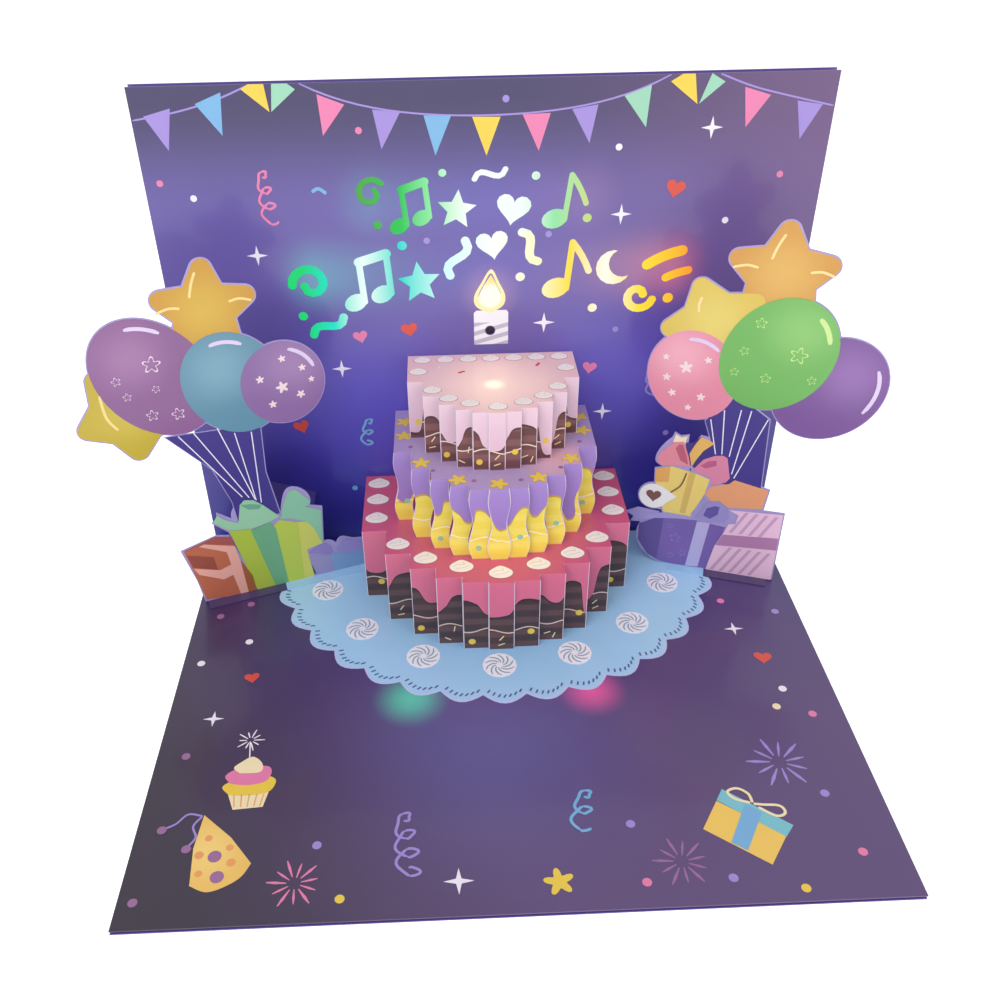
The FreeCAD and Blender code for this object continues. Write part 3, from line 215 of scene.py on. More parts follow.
# Cores, sound board and lamps: glued between the cover and the inner sheet, out of sight, in the
# plain foam, board, plastic and metal of such a card.
for node_names, colour, roughness, metal in (
        (("back_spacer",), ink(236, 236, 232), 0.85, 0), (("base_board",), ink(176, 172, 163), 0.9, 0),
        (("circuit_board",), ink(30, 96, 58), 0.45, 0), (("chip_cap",), ink(22, 22, 24), 0.2, 0),
        (("board_parts",), ink(44, 42, 42), 0.4, 0),
        (("cell_holder", "speaker_basket", "contact_switch"), ink(34, 34, 37), 0.5, 0),
        (("cells",), ink(205, 204, 200), 0.25, 1), (("microphone",), ink(24, 24, 27), 0.5, 0),
        (("cell_contact",), ink(216, 190, 130), 0.3, 1),
        (("speaker_cone",), ink(206, 208, 213), 0.35, 0), (("pull_tongue",), ink(238, 238, 242), 0.4, 0),
        (("lamp_strip",), ink(206, 140, 58), 0.4, 0),
        (("speaker_leads", "mic_leads", "switch_leads", "cell_leads", "green_lamp_lead",
          "pink_lamp_lead", "cake_lamp_lead"), ink(196, 48, 44), 0.5, 0)):
    inside = Finish(node_names[0] + "_finish", roughness)
    inside.set("Metallic", metal)
    dress(inside.paint(colour, mottle=0.1), *node_names)

for node_name, glow in (("window_lamps", ink(255, 246, 214)), ("green_lamp", ink(120, 255, 170)),
                        ("pink_lamp", ink(255, 130, 170)), ("cake_lamp", ink(255, 236, 196))):
    lamp = Finish(node_name + "_resin", 0.25)
    lamp.set("Emission Color", lamp.noise(0.5).mix(glow, ink(255, 255, 255)))
    lamp.set("Emission Strength", 1.5)
    dress(lamp.paint(glow), node_name)

# Diffuser film: a frosted plastic sheet taped behind the windows. The lamps light it from behind,
# in one run of colours for each row of windows, and in warm white at the flame.
BASE_TOP = 1.5
film = Finish("lit_film", roughness=0.6)
rise = film.z - BASE_TOP
across = film.x.share(-60.0, 66.0)
upper_glow = across.ramp([
    (0.16, ink(84, 168, 60)), (0.27, ink(40, 200, 84)), (0.35, ink(150, 240, 170)),
    (0.43, ink(250, 255, 252)), (0.56, ink(244, 255, 250)), (0.64, ink(150, 232, 170)),
    (0.7, ink(196, 226, 150)), (0.76, ink(206, 214, 96))])
lower_glow = across.ramp([
    (0.02, ink(0, 214, 112)), (0.09, ink(20, 226, 200)), (0.17, ink(236, 255, 250)),
    (0.26, ink(24, 222, 206)), (0.38, ink(216, 255, 252)), (0.5, ink(255, 255, 250)),
    (0.6, ink(255, 250, 200)), (0.68, ink(255, 226, 70)), (0.77, ink(255, 252, 236)),
    (0.86, ink(255, 226, 50)), (0.93, ink(255, 196, 30)), (1.0, ink(255, 140, 40))])
row_glow = (rise + film.noise(0.06) * 3).step(113.0, 116.0).mix(lower_glow, upper_glow)
flame_glow = film.near(0.8, 0.4, 95.5, 9.0)
candle_glow = film.near(0.8, 0.4, 94.2, 6.4).step(0.0, 0.6).mix(ink(255, 232, 150), ink(255, 254, 240))
film.set("Emission Color", flame_glow.step(0.0, 0.3).mix(row_glow, candle_glow))
film.set("Emission Strength", 1.0)
film.set("Specular IOR Level", 0.1)
dress(film.paint(ink(40, 42, 44)), "diffuser_film")

# Inner sheet: one printed and laminated sheet, folded along the spine, with the windows die-cut in
# its upright half. It is glued over the cores. The light of the lamps is painted into the sheet as glow
# round the windows and on the base, and painted shade darkens the base towards its front left.
LAMINATE = (0.4, 0.35)
paper = Finish("printed_sheet", *LAMINATE)
height = paper.z - BASE_TOP
upright = height.above(0.1)
wall_colour = (height + paper.noise(0.012) * 24).step(20, 110).mix(ink(50, 42, 150), ink(100, 86, 160))
wall_colour = height.step(120, 153).mix(wall_colour, ink(58, 49, 92))
wall_colour = (paper.x.step(5, 110) * height.step(40, 110) * 0.75).mix(wall_colour, ink(112, 80, 126))
base_colour = (0 - paper.y + paper.noise(0.012) * 20).step(10, 120).mix(
    ink(54, 38, 104), ink(86, 62, 112))
# Painted shade: the base is darkened towards its front left.
painted_shade_front_left = (0 - paper.x - paper.y * 0.5 + paper.noise(0.02) * 20).step(70, 180)
# Painted light: a bluish glow on the middle of the base, mixed into its colour.
base_colour = paper.near(-4, -100, BASE_TOP, 62).mix(base_colour, ink(88, 79, 138))
base_colour = painted_shade_front_left.mix(base_colour, ink(30, 16, 42))
sheet_colour = upright.mix(base_colour, wall_colour)

# Painted glow: through its emission, the sheet glows in these colours round the rows of windows and warm
# round the flame.
spill_colour = paper.x.share(-62.0, 68.0).ramp([
    (0.0, ink(0, 190, 140)), (0.25, ink(10, 150, 120)), (0.5, ink(60, 90, 200)),
    (0.75, ink(190, 130, 60)), (1.0, ink(255, 110, 40))])


def beyond(place, middle, half):
    """How far a place lies past either end of a row."""
    past = abs(place - middle) - half
    return past.highest(0)


spill = 0
for row_middle, row_half, row_height in ((-3, 30, 123), (2, 54, 101)):
    sideways, upwards = beyond(paper.x, row_middle, row_half), beyond(height, row_height, 1)
    nearness = (1 - (sideways * sideways + upwards * upwards).power(0.5).step(0, 18)).power(1.7)
    spill = nearness.highest(spill)
spill = spill * upright * (0.2 + 0.62 * abs(paper.x - 2).step(15, 62))
flame_spill = paper.near(0.8, 0, 95.5, 12) * 0.35 * upright
# Painted glow: green and pink pools of light on the base, over the lamps beneath it, as the sheet's
# emission.
painted_green_glow = paper.near(-28.0, -83, BASE_TOP, 13)
painted_pink_glow = paper.near(27.0, -82.5, BASE_TOP, 12)


def added(first, second):
    """Two lights on one spot."""
    return first.node("ShaderNodeMix", {"data_type": "RGBA", "blend_type": "ADD", "out": "Result_Color"},
                      Factor_Float=1.0, A_Color=first, B_Color=second)


DARK = (0, 0, 0, 1)
lit = added(spill.mix(DARK, spill_colour), flame_spill.mix(DARK, ink(255, 190, 90)))
lit = added(lit, painted_green_glow.mix(DARK, ink(30, 220, 150)))
# Painted glow: two blue patches of light on the lower wall, in the sheet's emission.
for blue_x, blue_height, reach in ((-38, 58, 46), (44, 70, 40)):
    blue_glow = paper.near(blue_x, 0, blue_height, reach) * upright * 0.4
    lit = added(lit, blue_glow.mix(DARK, ink(56, 50, 210)))
lit = added(lit, painted_pink_glow.mix(DARK, ink(255, 70, 130)))
paper.set("Emission Color", lit)
paper.set("Emission Strength", 0.55)
dress(paper.paint(sheet_colour, grain=0.2), "inner_sheet")


class Sheet:
    """A printed face: its origin, the directions across, up and out of it, and its slot."""

    def __init__(self, origin, across, up, slot="printed_card"):
        self.origin, self.slot = Vector(origin), slot
        self.across, self.up = Vector(across).normalized(), Vector(up).normalized()
        self.out = self.across.cross(self.up)

    def at(self, u, v, lift):
        return (self.origin + self.across * u + self.up * v + self.out * lift) * MM

    def facing(self, turn):
        """Euler angles that lay a flat motif on the face, turned by so many degrees."""
        axes = Matrix((self.across, self.up, self.out)).transposed()
        return (axes @ Matrix.Rotation(math.radians(turn), 3, "Z")).to_euler()


INK_GAP = 0.01
INK_FILM = 0.025
INK_STEP = 0.04
back = Sheet((0, 0, BASE_TOP), (1, 0, 0), (0, 0, 1))
base = Sheet((0, 0, BASE_TOP), (1, 0, 0), (0, 1, 0))


def new_piece(name, mesh, material, slot):
    data = bpy.data.meshes.new(name)
    mesh.to_mesh(data)
    mesh.free()
    piece = bpy.data.objects.new(name, data)
    bpy.context.scene.collection.objects.link(piece)
    if material:
        data.materials.append(material)
    if slot:
        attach(piece, "root")
    return piece


class Band:
    """A long narrow shape between two edges: open like a drawn line, or closed like a ring."""

    def __init__(self, first, second, closed=False):
        self.edges, self.closed = (first, second), closed


def film_of(mesh, shape, place):
    """Add one closed film of ink, from a ring of corners or from a band."""
    rings = shape.edges if isinstance(shape, Band) else (shape,)
    low = [[mesh.verts.new(place(u, v, 0)) for u, v in ring] for ring in rings]
    high = [[mesh.verts.new(place(u, v, INK_FILM)) for u, v in ring] for ring in rings]
    if len(rings) == 1:
        mesh.faces.new(low[0])
        mesh.faces.new(high[0])
    count = len(rings[0])
    joined = count if len(rings) == 1 or shape.closed else count - 1
    for k in range(joined):
        after = (k + 1) % count
        for bottom, top in zip(low, high):
            mesh.faces.new((bottom[k], bottom[after], top[after], top[k]))
        if len(rings) == 2:
            for first, second in (low, high):
                mesh.faces.new((first[k], first[after], second[after], second[k]))
    if joined < count:
        for k in (0, -1):
            mesh.faces.new((low[0][k], low[1][k], high[1][k], high[0][k]))


def prints(name, sheet, level, material, outlines):
    """One ink on one face: thin closed films, each level lying over the one before."""
    mesh = bmesh.new()
    lift = INK_GAP + INK_STEP * level
    for outline in outlines:
        film_of(mesh, outline, lambda u, v, up: sheet.at(u, v, lift + up))
    bmesh.ops.recalc_face_normals(mesh, faces=mesh.faces)
    new_piece(name, mesh, material, sheet.slot)


def printed(name, colour, second=None, centre=(0, 0, 0), radius=1.0):
    """Printed ink, going over to a second colour round a centre given in millimetres."""
    finish = Finish(name, *LAMINATE)
    if second:
        colour = finish.near(*centre, radius).mix(colour, second)
    return finish.paint(colour, mottle=0.08)


def line(points, width):
    """A drawn line of one width with tapered ends."""
    left, right = [], []
    for k, (u, v) in enumerate(points):
        before, after = points[max(k - 1, 0)], points[min(k + 1, len(points) - 1)]
        along = Vector((after[0] - before[0], after[1] - before[1])).normalized()
        half = width / 2 * (0.6 if k in (0, len(points) - 1) else 1)
        left.append((u - along.y * half, v + along.x * half))
        right.append((u + along.y * half, v - along.x * half))
    return Band(left, right)


def smooth(points, steps=6):
    """A rounder line through the points, by Catmull-Rom spans."""
    ends = [points[0]] + list(points) + [points[-1]]
    result = []
    for k in range(len(points) - 1):
        a, b, c, d = (Vector(point) for point in ends[k:k + 4])
        for step in range(steps):
            t = step / steps
            spot = (2 * b + (c - a) * t + (2 * a - 5 * b + 4 * c - d) * t ** 2
                    + (3 * b - a - 3 * c + d) * t ** 3) / 2
            result.append(tuple(spot))
    return result + [tuple(points[-1])]


def ring_of(count, radius, u=0.0, v=0.0):
    """Points round a circle; the radius is a number or a function of the angle."""
    reach = radius if callable(radius) else lambda angle: radius
    angles = [2 * math.pi * k / count for k in range(count)]
    return [(u + reach(a) * math.cos(a), v + reach(a) * math.sin(a)) for a in angles]


def star(points, valley):
    """A star with straight sides, its tips at a reach of 1."""
    angles = [math.radians(90.0) + math.pi * k / points for k in range(2 * points)]
    reach = [valley if k % 2 else 1.0 for k in range(2 * points)]
    return [(r * math.cos(a), r * math.sin(a)) for r, a in zip(reach, angles)]


def heart():
    """A heart about 2 wide."""
    points = []
    for k in range(20):
        a = 2 * math.pi * k / 20
        points.append((16 * math.sin(a) ** 3, 13 * math.cos(a) - 5 * math.cos(2 * a)
                       - 2 * math.cos(3 * a) - math.cos(4 * a)))
    return [(x / 16, y / 16) for x, y in points]


def repeat_tree():
    """Geometry nodes that stand copies of a motif on points, each with its own turn and growth."""
    tree = bpy.data.node_groups.new("motif_on_points", "GeometryNodeTree")
    for title, kind in (("Points", "NodeSocketGeometry"), ("Motif", "NodeSocketObject"),
                        ("Size", "NodeSocketFloat"), ("Ink", "NodeSocketMaterial")):
        tree.interface.new_socket(title, in_out="INPUT", socket_type=kind)
    tree.interface.new_socket("Prints", in_out="OUTPUT", socket_type="NodeSocketGeometry")
    source = tree.nodes.new("NodeGroupInput")
    given = {socket.name: Value(tree, socket) for socket in source.outputs if socket.name}
    start = given["Size"]
    motif = start.node("GeometryNodeObjectInfo", {"out": "Geometry"}, Object=given["Motif"])
    turn = start.node("GeometryNodeInputNamedAttribute", {"data_type": "FLOAT_VECTOR"}, Name="turn")
    grow = start.node("GeometryNodeInputNamedAttribute", {"data_type": "FLOAT"}, Name="grow")
    facing = start.node("FunctionNodeEulerToRotation", (), Euler=turn)
    copies = start.node("GeometryNodeInstanceOnPoints", (), Points=given["Points"], Instance=motif,
                        Rotation=facing, Scale=grow * given["Size"])
    solid = start.node("GeometryNodeRealizeInstances", (), Geometry=copies)
    inked = start.node("GeometryNodeSetMaterial", (), Geometry=solid, Material=given["Ink"])
    result = tree.nodes.new("NodeGroupOutput")
    tree.links.new(inked.socket, result.inputs[0])
    return tree


repeating = repeat_tree()
motifs = []


def motif(name, *outlines):
    """A flat motif about the origin in millimetres, drawn once and then repeated."""
    mesh = bmesh.new()
    for outline in outlines:
        film_of(mesh, outline, lambda u, v, up: Vector((u, v, up)) * MM)
    bmesh.ops.recalc_face_normals(mesh, faces=mesh.faces)
    motifs.append(new_piece(name, mesh, None, None))
    return motifs[-1]


def repeat(name, drawing, sheet, level, material, places, scale=1.0):
    """A motif printed at places on a face: (u, v), then its turn and its growth where they vary."""
    cloud = bpy.data.meshes.new(name + "_points")
    lift = INK_GAP + INK_STEP * level
    cloud.from_pydata([sheet.at(place[0], place[1], lift) for place in places], [], [])
    cloud.attributes.new("turn", "FLOAT_VECTOR", "POINT")
    cloud.attributes.new("grow", "FLOAT", "POINT")
    for k, place in enumerate(places):
        cloud.attributes["turn"].data[k].vector = sheet.facing(place[2] if len(place) > 2 else 0)
        cloud.attributes["grow"].data[k].value = place[3] if len(place) > 3 else 1
    piece = bpy.data.objects.new(name, cloud)
    bpy.context.scene.collection.objects.link(piece)
    modifier = piece.modifiers.new("Repeat", "NODES")
    modifier.node_group = repeating
    sockets = {item.name: item.identifier for item in repeating.interface.items_tree
               if item.in_out == "INPUT"}
    modifier[sockets["Motif"]] = drawing
    modifier[sockets["Size"]] = scale
    modifier[sockets["Ink"]] = material
    bpy.context.view_layer.update()
    graph = bpy.context.evaluated_depsgraph_get()
    baked = bpy.data.meshes.new_from_object(piece.evaluated_get(graph))
    piece.modifiers.remove(modifier)
    piece.data = baked
    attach(piece, "root")


dot = motif("dot", ring_of(14, 1.0))
heart_drawing = motif("heart", heart())
spark_star = motif("spark", star(4, 0.26))
five_star = motif("five_star", ring_of(40, lambda a: 0.74 + 0.28 * math.cos(5 * (a - math.pi / 2))))
inks = {name: printed(name + "_ink", ink(*parts)) for name, parts in {
    "white": (238, 232, 244), "lilac": (156, 134, 208), "pink": (226, 122, 168),
    "blue": (116, 172, 216), "yellow": (234, 200, 66), "cream": (242, 224, 180),
    "mauve": (150, 100, 150), "red": (214, 72, 52), "mint": (150, 204, 176),
    "orange": (232, 156, 92), "brown": (120, 72, 60),
}.items()}

# Bunting printed along the top of the back panel: three thin strings that sag, with pennants in five
# inks. Like every print here, it is laid on the sheet as closed films as thin as ink.
swags = [[(x, 147.3 + 0.0022 * x * x + 5e-7 * x ** 4) for x in range(-52, 53, 4)],
         smooth([(-99.6, 148.2), (-88, 150.0), (-76, 153.0), (-66, 156.8)]),
         smooth([(66, 156.8), (76, 153.2), (88, 150.2), (99.6, 147.6)])]
prints("bunting_strings", back, 0, inks["lilac"], [line(swag, 0.5) for swag in swags])
pennants = {
    "lilac": [[(-96.4, 149.2), (-88.6, 151.2), (-91, 139.7)], [(-32.2, 149.6), (-24.4, 148.7),
        (-30.3, 138.6)], [(24.5, 148.4), (31.9, 149.5), (29.9, 138.9)], [(88.9, 149.2), (96.4, 148),
        (91.3, 138.5)]],
    "blue": [[(-81.5, 152.2), (-73.9, 155.1), (-75.1, 143.5)], [(-17.8, 147.7), (-10, 147.4),
        (-14.8, 136.5)]],
    "pink": [[(-47.4, 154), (-39.9, 151.1), (-46.7, 142.8)], [(10.4, 147.3), (18.4, 147.5),
        (15.2, 137.1)], [(73.3, 153.2), (81, 150.9), (74.9, 142.2)]],
    "yellow": [[(-4, 147), (4.1, 146.8), (0, 136.1)], [(-68.3, 155.8), (-66.1, 157), (-61.8, 157),
        (-61, 149.6)], [(52, 155.1), (55.3, 157), (58.8, 157), (60.2, 148.9)]],
    "mint": [[(39.2, 151.6), (46.7, 154.3), (46, 142.9)], [(-59.6, 157), (-55.3, 157), (-53.2, 155.4),
        (-60.5, 149.6)], [(63.5, 157), (67.5, 154.7), (60.6, 148.9)]],
}
for colour, outlines in pennants.items():
    prints("pennants_" + colour, back, 1, inks[colour], outlines)

# Confetti, stars, hearts and curled streamers printed on the back panel, scattered round the
# windows. Each ink is one print, and a streamer's half loops lie over one another.
wall_dots = {
    "pink": [(-95.4, 130.6), (-36.5, 144.0), (87.2, 128.6), (-84.0, 60.5)],
    "white": [(-86.4, 126.0), (38.6, 137.6), (72.6, 115.2)],
    "lilac": [(5.6, 151.6), (-18.4, 111.4), (18.8, 112.4), (41.4, 80.4), (61.6, 41.0), (-77.0, 96.0)],
    "blue": [(-47.6, 22.4), (92.0, 104.0)],
}
for colour, places in wall_dots.items():
    repeat("wall_dots_" + colour, dot, back, 0, inks[colour], places)
repeat("wall_stars", spark_star, back, 0, inks["white"], [
    (-70.2, 108.2), (65.2, 142.4), (40.6, 117.9), (18.1, 83.5, 0, 1.1), (-48.0, 69.3), (39.0, 50.3)],
    scale=3.2)
repeat("wall_hearts", heart_drawing, back, 0, inks["red"], [
    (56.4, 125.4, -12, 1.1), (-25.2, 82.6, 8), (-63.6, 48.2, 14)], scale=2.7)
repeat("wall_hearts_small", heart_drawing, back, 0, inks["pink"], [(-41.0, 80.6, 10), (33.7, 67.1, -8)],
       scale=2.4)


def coil(u, v, length, width, loops, turn):
    """A curled paper streamer that hangs down from a place, as its half loops."""
    lean, points = math.radians(turn), []
    for k in range(int(loops * 20) + 1):
        share = k / (loops * 20)
        angle = 2 * math.pi * loops * share
        side = width / 2 * math.sin(angle) * (0.75 + 0.25 * math.cos(2.2 * angle))
        down = -length * share + 0.42 * width * (1 - math.cos(angle))
        points.append((u + side * math.cos(lean) - down * math.sin(lean),
                       v + side * math.sin(lean) + down * math.cos(lean)))
    return [points[k:k + 11] for k in range(0, len(points) - 1, 10)]


def streamer(name, sheet, colour, halves, width):
    """The half loops of a streamer, laid over one another by turns."""
    for level in range(4):
        prints("%s_%d" % (name, level), sheet, level, inks[colour],
               [line(half, width) for half in halves[level::4]])


streamer("wall_streamer_pink", back, "pink", coil(-65.6, 131.6, 15, 4.6, 3.25, 4), 0.75)
streamer("wall_streamer_blue", back, "blue", coil(-41.0, 48.6, 10.5, 4.2, 2.5, -8), 0.75)
streamer("wall_streamer_lilac", back, "lilac", coil(54.0, 64.4, 9.5, 4.0, 2.25, 10), 0.7)
prints("wall_snip", back, 0, inks["blue"], [
    line(smooth([(-51.6, 127.0), (-49.6, 127.9), (-47.4, 126.4)]), 1.0)])

# Candle printed under the flame window in slanting stripes, with a pale rim round the flame. The
# microphone listens through a hole in it, which the print leaves clear.
candle = Finish("candle_print", *LAMINATE)
slant = ((candle.z - candle.x * 0.28) / 3.1).fract()
candle_colour = (slant.step(0.5, 0.56) * candle.z.below(85.6)).mix(ink(236, 236, 244), ink(186, 182, 206))
hole_u, hole_v, hole_r = 0.8, 81.3, 1.7
rim_left = [(hole_u + hole_r * math.sin(a), hole_v - hole_r * math.cos(a))
            for a in (-math.pi * k / 8 for k in range(9))]
rim_right = [(2 * hole_u - u, v) for u, v in rim_left]
prints("candle", back, 0, candle.paint(candle_colour), [
    [(hole_u, 76.5)] + rim_left + [(hole_u, 88.2), (-3.6, 88.2), (-4.4, 87.4), (-4.4, 76.5)],
    [(hole_u, 76.5)] + rim_right + [(hole_u, 88.2), (6.0, 88.2), (6.6, 87.4), (6.6, 76.5)]])
drop = smooth([(0.8, 87.4), (-3.4, 89.6), (-4.1, 93.0), (-1.9, 97.2), (1.2, 101.6), (3.6, 97.4),
               (5.5, 93.2), (4.8, 89.8), (0.8, 87.4)], 5)[:-1]
drop = [(0.8 + (u - 0.8) * 1.02, 93.6 + (v - 93.6) * 1.03) for u, v in drop]
window_drop = [(0.8 + (u - 0.8) * 0.74, 94.0 + (v - 94.0) * 0.83) for u, v in drop]
# The pale rim round the flame is printed, and has a faint painted glow given as emission.
flame_rim = Finish("flame_rim", roughness=0.4)
flame_rim.set("Emission Color", flame_rim.noise(0.2).mix(ink(246, 214, 134), ink(255, 230, 160)))
flame_rim.set("Emission Strength", 0.2)
prints("flame_rim", back, 1, flame_rim.paint(ink(232, 216, 160)), [Band(drop, window_drop, True)])

# Doily printed on the base under the cake: a scalloped edge with dashes that look pierced, and a
# ring of round sweets. The bottom tier's tabs are glued over it.
DOILY_U, DOILY_V, DOILY_R = 1.0, -8.0, 75.0
SCALLOPS, SCALLOP_START, SCALLOP_TURN = 19, -5.4, 10.08
SWEETS_R, SWEETS_TURN = 62, 22.8
doily_angles = [math.radians(SCALLOP_START + SCALLOP_TURN / 8 * k) for k in range(SCALLOPS * 8)]


def scallops(inset):
    rim = []
    for a in doily_angles:
        bow = abs(math.sin(math.pi * (math.degrees(a) - SCALLOP_START) / SCALLOP_TURN))
        reach = DOILY_R + 3.5 * bow - inset
        rim.append((DOILY_U + reach * math.cos(a), min(DOILY_V - reach * math.sin(a), -0.5)))
    return rim


prints("doily_edge", base, 0, printed("doily_edge_ink", ink(184, 196, 236)), [scallops(0)])
prints("doily", base, 1, printed("doily_ink", ink(164, 206, 238), ink(140, 184, 230), (1, -40, 1.5), 62),
       [scallops(1.0)])
dash = motif("dash", [(-0.75, -0.28), (0.75, -0.28), (0.75, 0.28), (-0.75, 0.28)])
dashes = []
for scallop in range(SCALLOPS):
    for k in range(1, 8):
        share = k / 8
        turn = SCALLOP_START + SCALLOP_TURN * (scallop + share)
        if turn > 185.0 or turn < -3:
            continue
        reach = DOILY_R - 2.8 + 3.3 * math.sin(math.pi * share)
        a = math.radians(turn)
        dashes.append((DOILY_U + reach * math.cos(a), DOILY_V - reach * math.sin(a), 90 - turn + 60))
repeat("doily_dashes", dash, base, 2, printed("doily_gaps", ink(84, 84, 150)), dashes)
sweets = []
for k in range(7):
    a = math.radians(SWEETS_TURN * (k + 1))
    sweets.append((DOILY_U + SWEETS_R * math.cos(a), DOILY_V - SWEETS_R * math.sin(a), SWEETS_TURN * k))
repeat("sweets", dot, base, 2, inks["white"], sweets, scale=5.4)
whirl = []
for k in range(10):
    start = 2 * math.pi * k / 10
    arc = [((0.22 + 0.68 * t) * math.cos(start + 1.1 * t), (0.22 + 0.68 * t) * math.sin(start + 1.1 * t))
           for t in (0, 0.25, 0.5, 0.75, 1)]
    whirl.append(line(arc, 0.1))
repeat("sweets_whirl", motif("whirl", *whirl), base, 3, printed("whirl_ink", ink(140, 165, 185)), sweets,
       scale=5.2)

# Small motifs printed on the base round the doily: party hat, cup cake, gift, fireworks, streamers
# and confetti. Where they cross, one ink lies over the other.
base_dots = {
    "mauve": [(-92.0, -41.4), (-82.6, -35.6), (-91.8, -102.4), (-96.0, -149.4)],
    "white": [(-80.6, -54.6), (84.8, -84.8), (-94.4, -64.0)],
    "lilac": [(-51.8, -134.6), (92.6, -49.2), (84.8, -124.6), (53.6, -149.6), (30.6, -132.0)],
    "yellow": [(-44.8, -150.8), (70.8, -153.4)],
    "pink": [(75.9, -42.8), (90.6, -95.5), (88.5, -143.6), (31.8, -149.8)],
    "cream": [(80.9, -92.0)],
}
for colour, places in base_dots.items():
    repeat("base_dots_" + colour, dot, base, 0, inks[colour], places, scale=1.25)
repeat("base_stars", spark_star, base, 0, inks["white"], [
    (-86.4, -88.2), (76.8, -57.0), (-15.2, -147.2, 0, 1.25)], scale=3.1)
repeat("base_star_yellow", five_star, base, 0, inks["yellow"], [(9.9, -148.6, 8)], scale=4.0)
repeat("base_hearts", heart_drawing, base, 0, inks["red"], [(-77.4, -71.2, 10), (82.6, -70.8, -8, 1.2)],
       scale=2.4)
petal = [(0.28, 0.02), (0.7, 0.055), (1.0, 0.02), (1.0, -0.02), (0.7, -0.055), (0.28, -0.02)]
for name, colour, u, v, reach in (
        ("left", "pink", -56.5, -145.8, 7.2), ("right", "lilac", 75.6, -113.2, 9.2),
        ("front", "mauve", 41.7, -144.2, 7.6)):
    outlines = []
    for k in range(11):
        a = 2 * math.pi * k / 11 + 0.2
        grow = reach * (1.0 if k % 2 else 0.82)
        outlines.append([(u + grow * (x * math.cos(a) - y * math.sin(a)),
                          v + grow * (x * math.sin(a) + y * math.cos(a))) for x, y in petal])
    prints("firework_" + name, base, 0, inks[colour], outlines)
streamer("base_streamer_lilac", base, "lilac", coil(-29.4, -128.0, 20, 6.2, 3.5, 6), 0.8)
streamer("base_streamer_blue", base, "blue", coil(19.4, -122.4, 12.5, 5.8, 2.25, -12), 0.85)

prints("cup_liner", base, 0, inks["cream"], [
    [(-77.7, -116.6), (-66.6, -116.4), (-67.6, -121.4), (-75.6, -122.0)]])
prints("cup_pleats", base, 1, inks["orange"], [
    line([(u, -117.0), (u + (-71.8 - u) * 0.16, -121.2)], 0.5)
    for u in (-76, -73.9, -71.8, -69.7, -67.8)])
for name, level, colour, outline in (
        ("sponge", 1, "yellow", [(-77.3, -117), (-79.6, -114.3), (-77.3, -112.2), (-72, -110.9),
            (-67, -110.9), (-65.0, -112.8), (-66.7, -116.4), (-72, -117.3), (-77.3, -117)]),
        ("icing", 2, "pink", [(-77.5, -113.1), (-79.4, -110.5), (-77.1, -108.2), (-72.4, -107.3),
            (-67.8, -107.3), (-66.6, -109.6), (-67.9, -112.6), (-72.6, -113.8), (-77.5, -113.1)]),
        ("cream", 3, "cream", [(-75.4, -109.5), (-77.4, -107.6), (-75.9, -105.7), (-72.6, -103.6),
            (-69.6, -106.3), (-69.9, -109.3), (-75.4, -109.5)])):
    prints("cup_" + name, base, level, inks[colour], [smooth(outline)[:-1]])
prints("cup_sparkler", base, 3, inks["white"], [line([(-73.5, -104.0), (-74.2, -97.8)], 0.6)] + [
    line([(-74.2 + r * math.cos(a), -97.3 + r * math.sin(a)) for r in (1.0, 2.5, 4.2 - k % 2)], 0.45)
    for k, a in enumerate(2 * math.pi * n / 10 for n in range(10))])

prints("hat", base, 0, printed("hat_ink", ink(236, 190, 96), ink(244, 208, 120), (-80, -135, 1.5), 12), [
    [(-82.9, -123.4), (-83.9, -134.0), (-82.9, -144.6)] + smooth([
        (-82.9, -145.2), (-78.6, -147.2), (-74.6, -146.2), (-70.4, -143.4), (-68.2, -139.3)])
    + [(-74.6, -131.0)]])
repeat("hat_dots", dot, base, 1, inks["orange"], [
    (-80.4, -131.0), (-82.0, -136.2, 0, 1.2), (-81.2, -141.8), (-73.4, -138.8, 0, 1.2), (-74.4, -134.2)])
repeat("hat_dots_large", dot, base, 1, inks["mauve"], [(-77.9, -136.8), (-76.3, -143.0)], scale=1.8)
prints("hat_ribbons", base, 1, inks["lilac"], [
    line(smooth([(-83.2, -123.8), (-87.2, -123.0), (-90.0, -126.0), (-93.0, -127.6)]), 0.6),
    line(smooth([(-83.4, -124.0), (-85.2, -127.0), (-83.9, -130.6), (-85.6, -133.6)]), 0.6)])
repeat("hat_bobbles", dot, base, 2, inks["mauve"], [(-93.3, -127.9), (-85.7, -134.2)], scale=1.3)

prints("gift_body", base, 0, printed("gift_ink", ink(238, 196, 92)), [
    [(54.9, -125.7), (49.3, -134.6), (64.4, -146.3), (70.5, -137.7)]])
prints("gift_lid", base, 1, printed("gift_lid_ink", ink(120, 190, 205)), [
    [(57.3, -121.8), (73.2, -134.6), (70.4, -138.1), (55, -125.5)]])
prints("gift_band", base, 2, inks["blue"], [
    [(62.3, -127.0), (66.1, -130.1), (59.3, -141.8), (55.6, -139.2)]])
prints("gift_bow", base, 2, inks["cream"], [
    line(smooth([(63.8, -126.8), (60.0, -125.2), (58.6, -122.8), (61.4, -121.8), (64.0, -123.8),
                 (64.4, -126.8)]), 0.8),
    line(smooth([(64.6, -127.2), (67.0, -127.6), (71.4, -128.2), (72.2, -130.6), (69.6, -131.4),
                 (65.6, -128.4)]), 0.8)])

# Cake: three printed sheets, each slit into eleven strips that fold out over one another. Each is
# glued to the sheet below it and to the back panel. Printed icing runs down the fronts, and the
# cut edges stay white.
CAKE_MIDDLE = 0.8
STRIPS = 11
STRIP_NUMBERS = range(-5, 6)


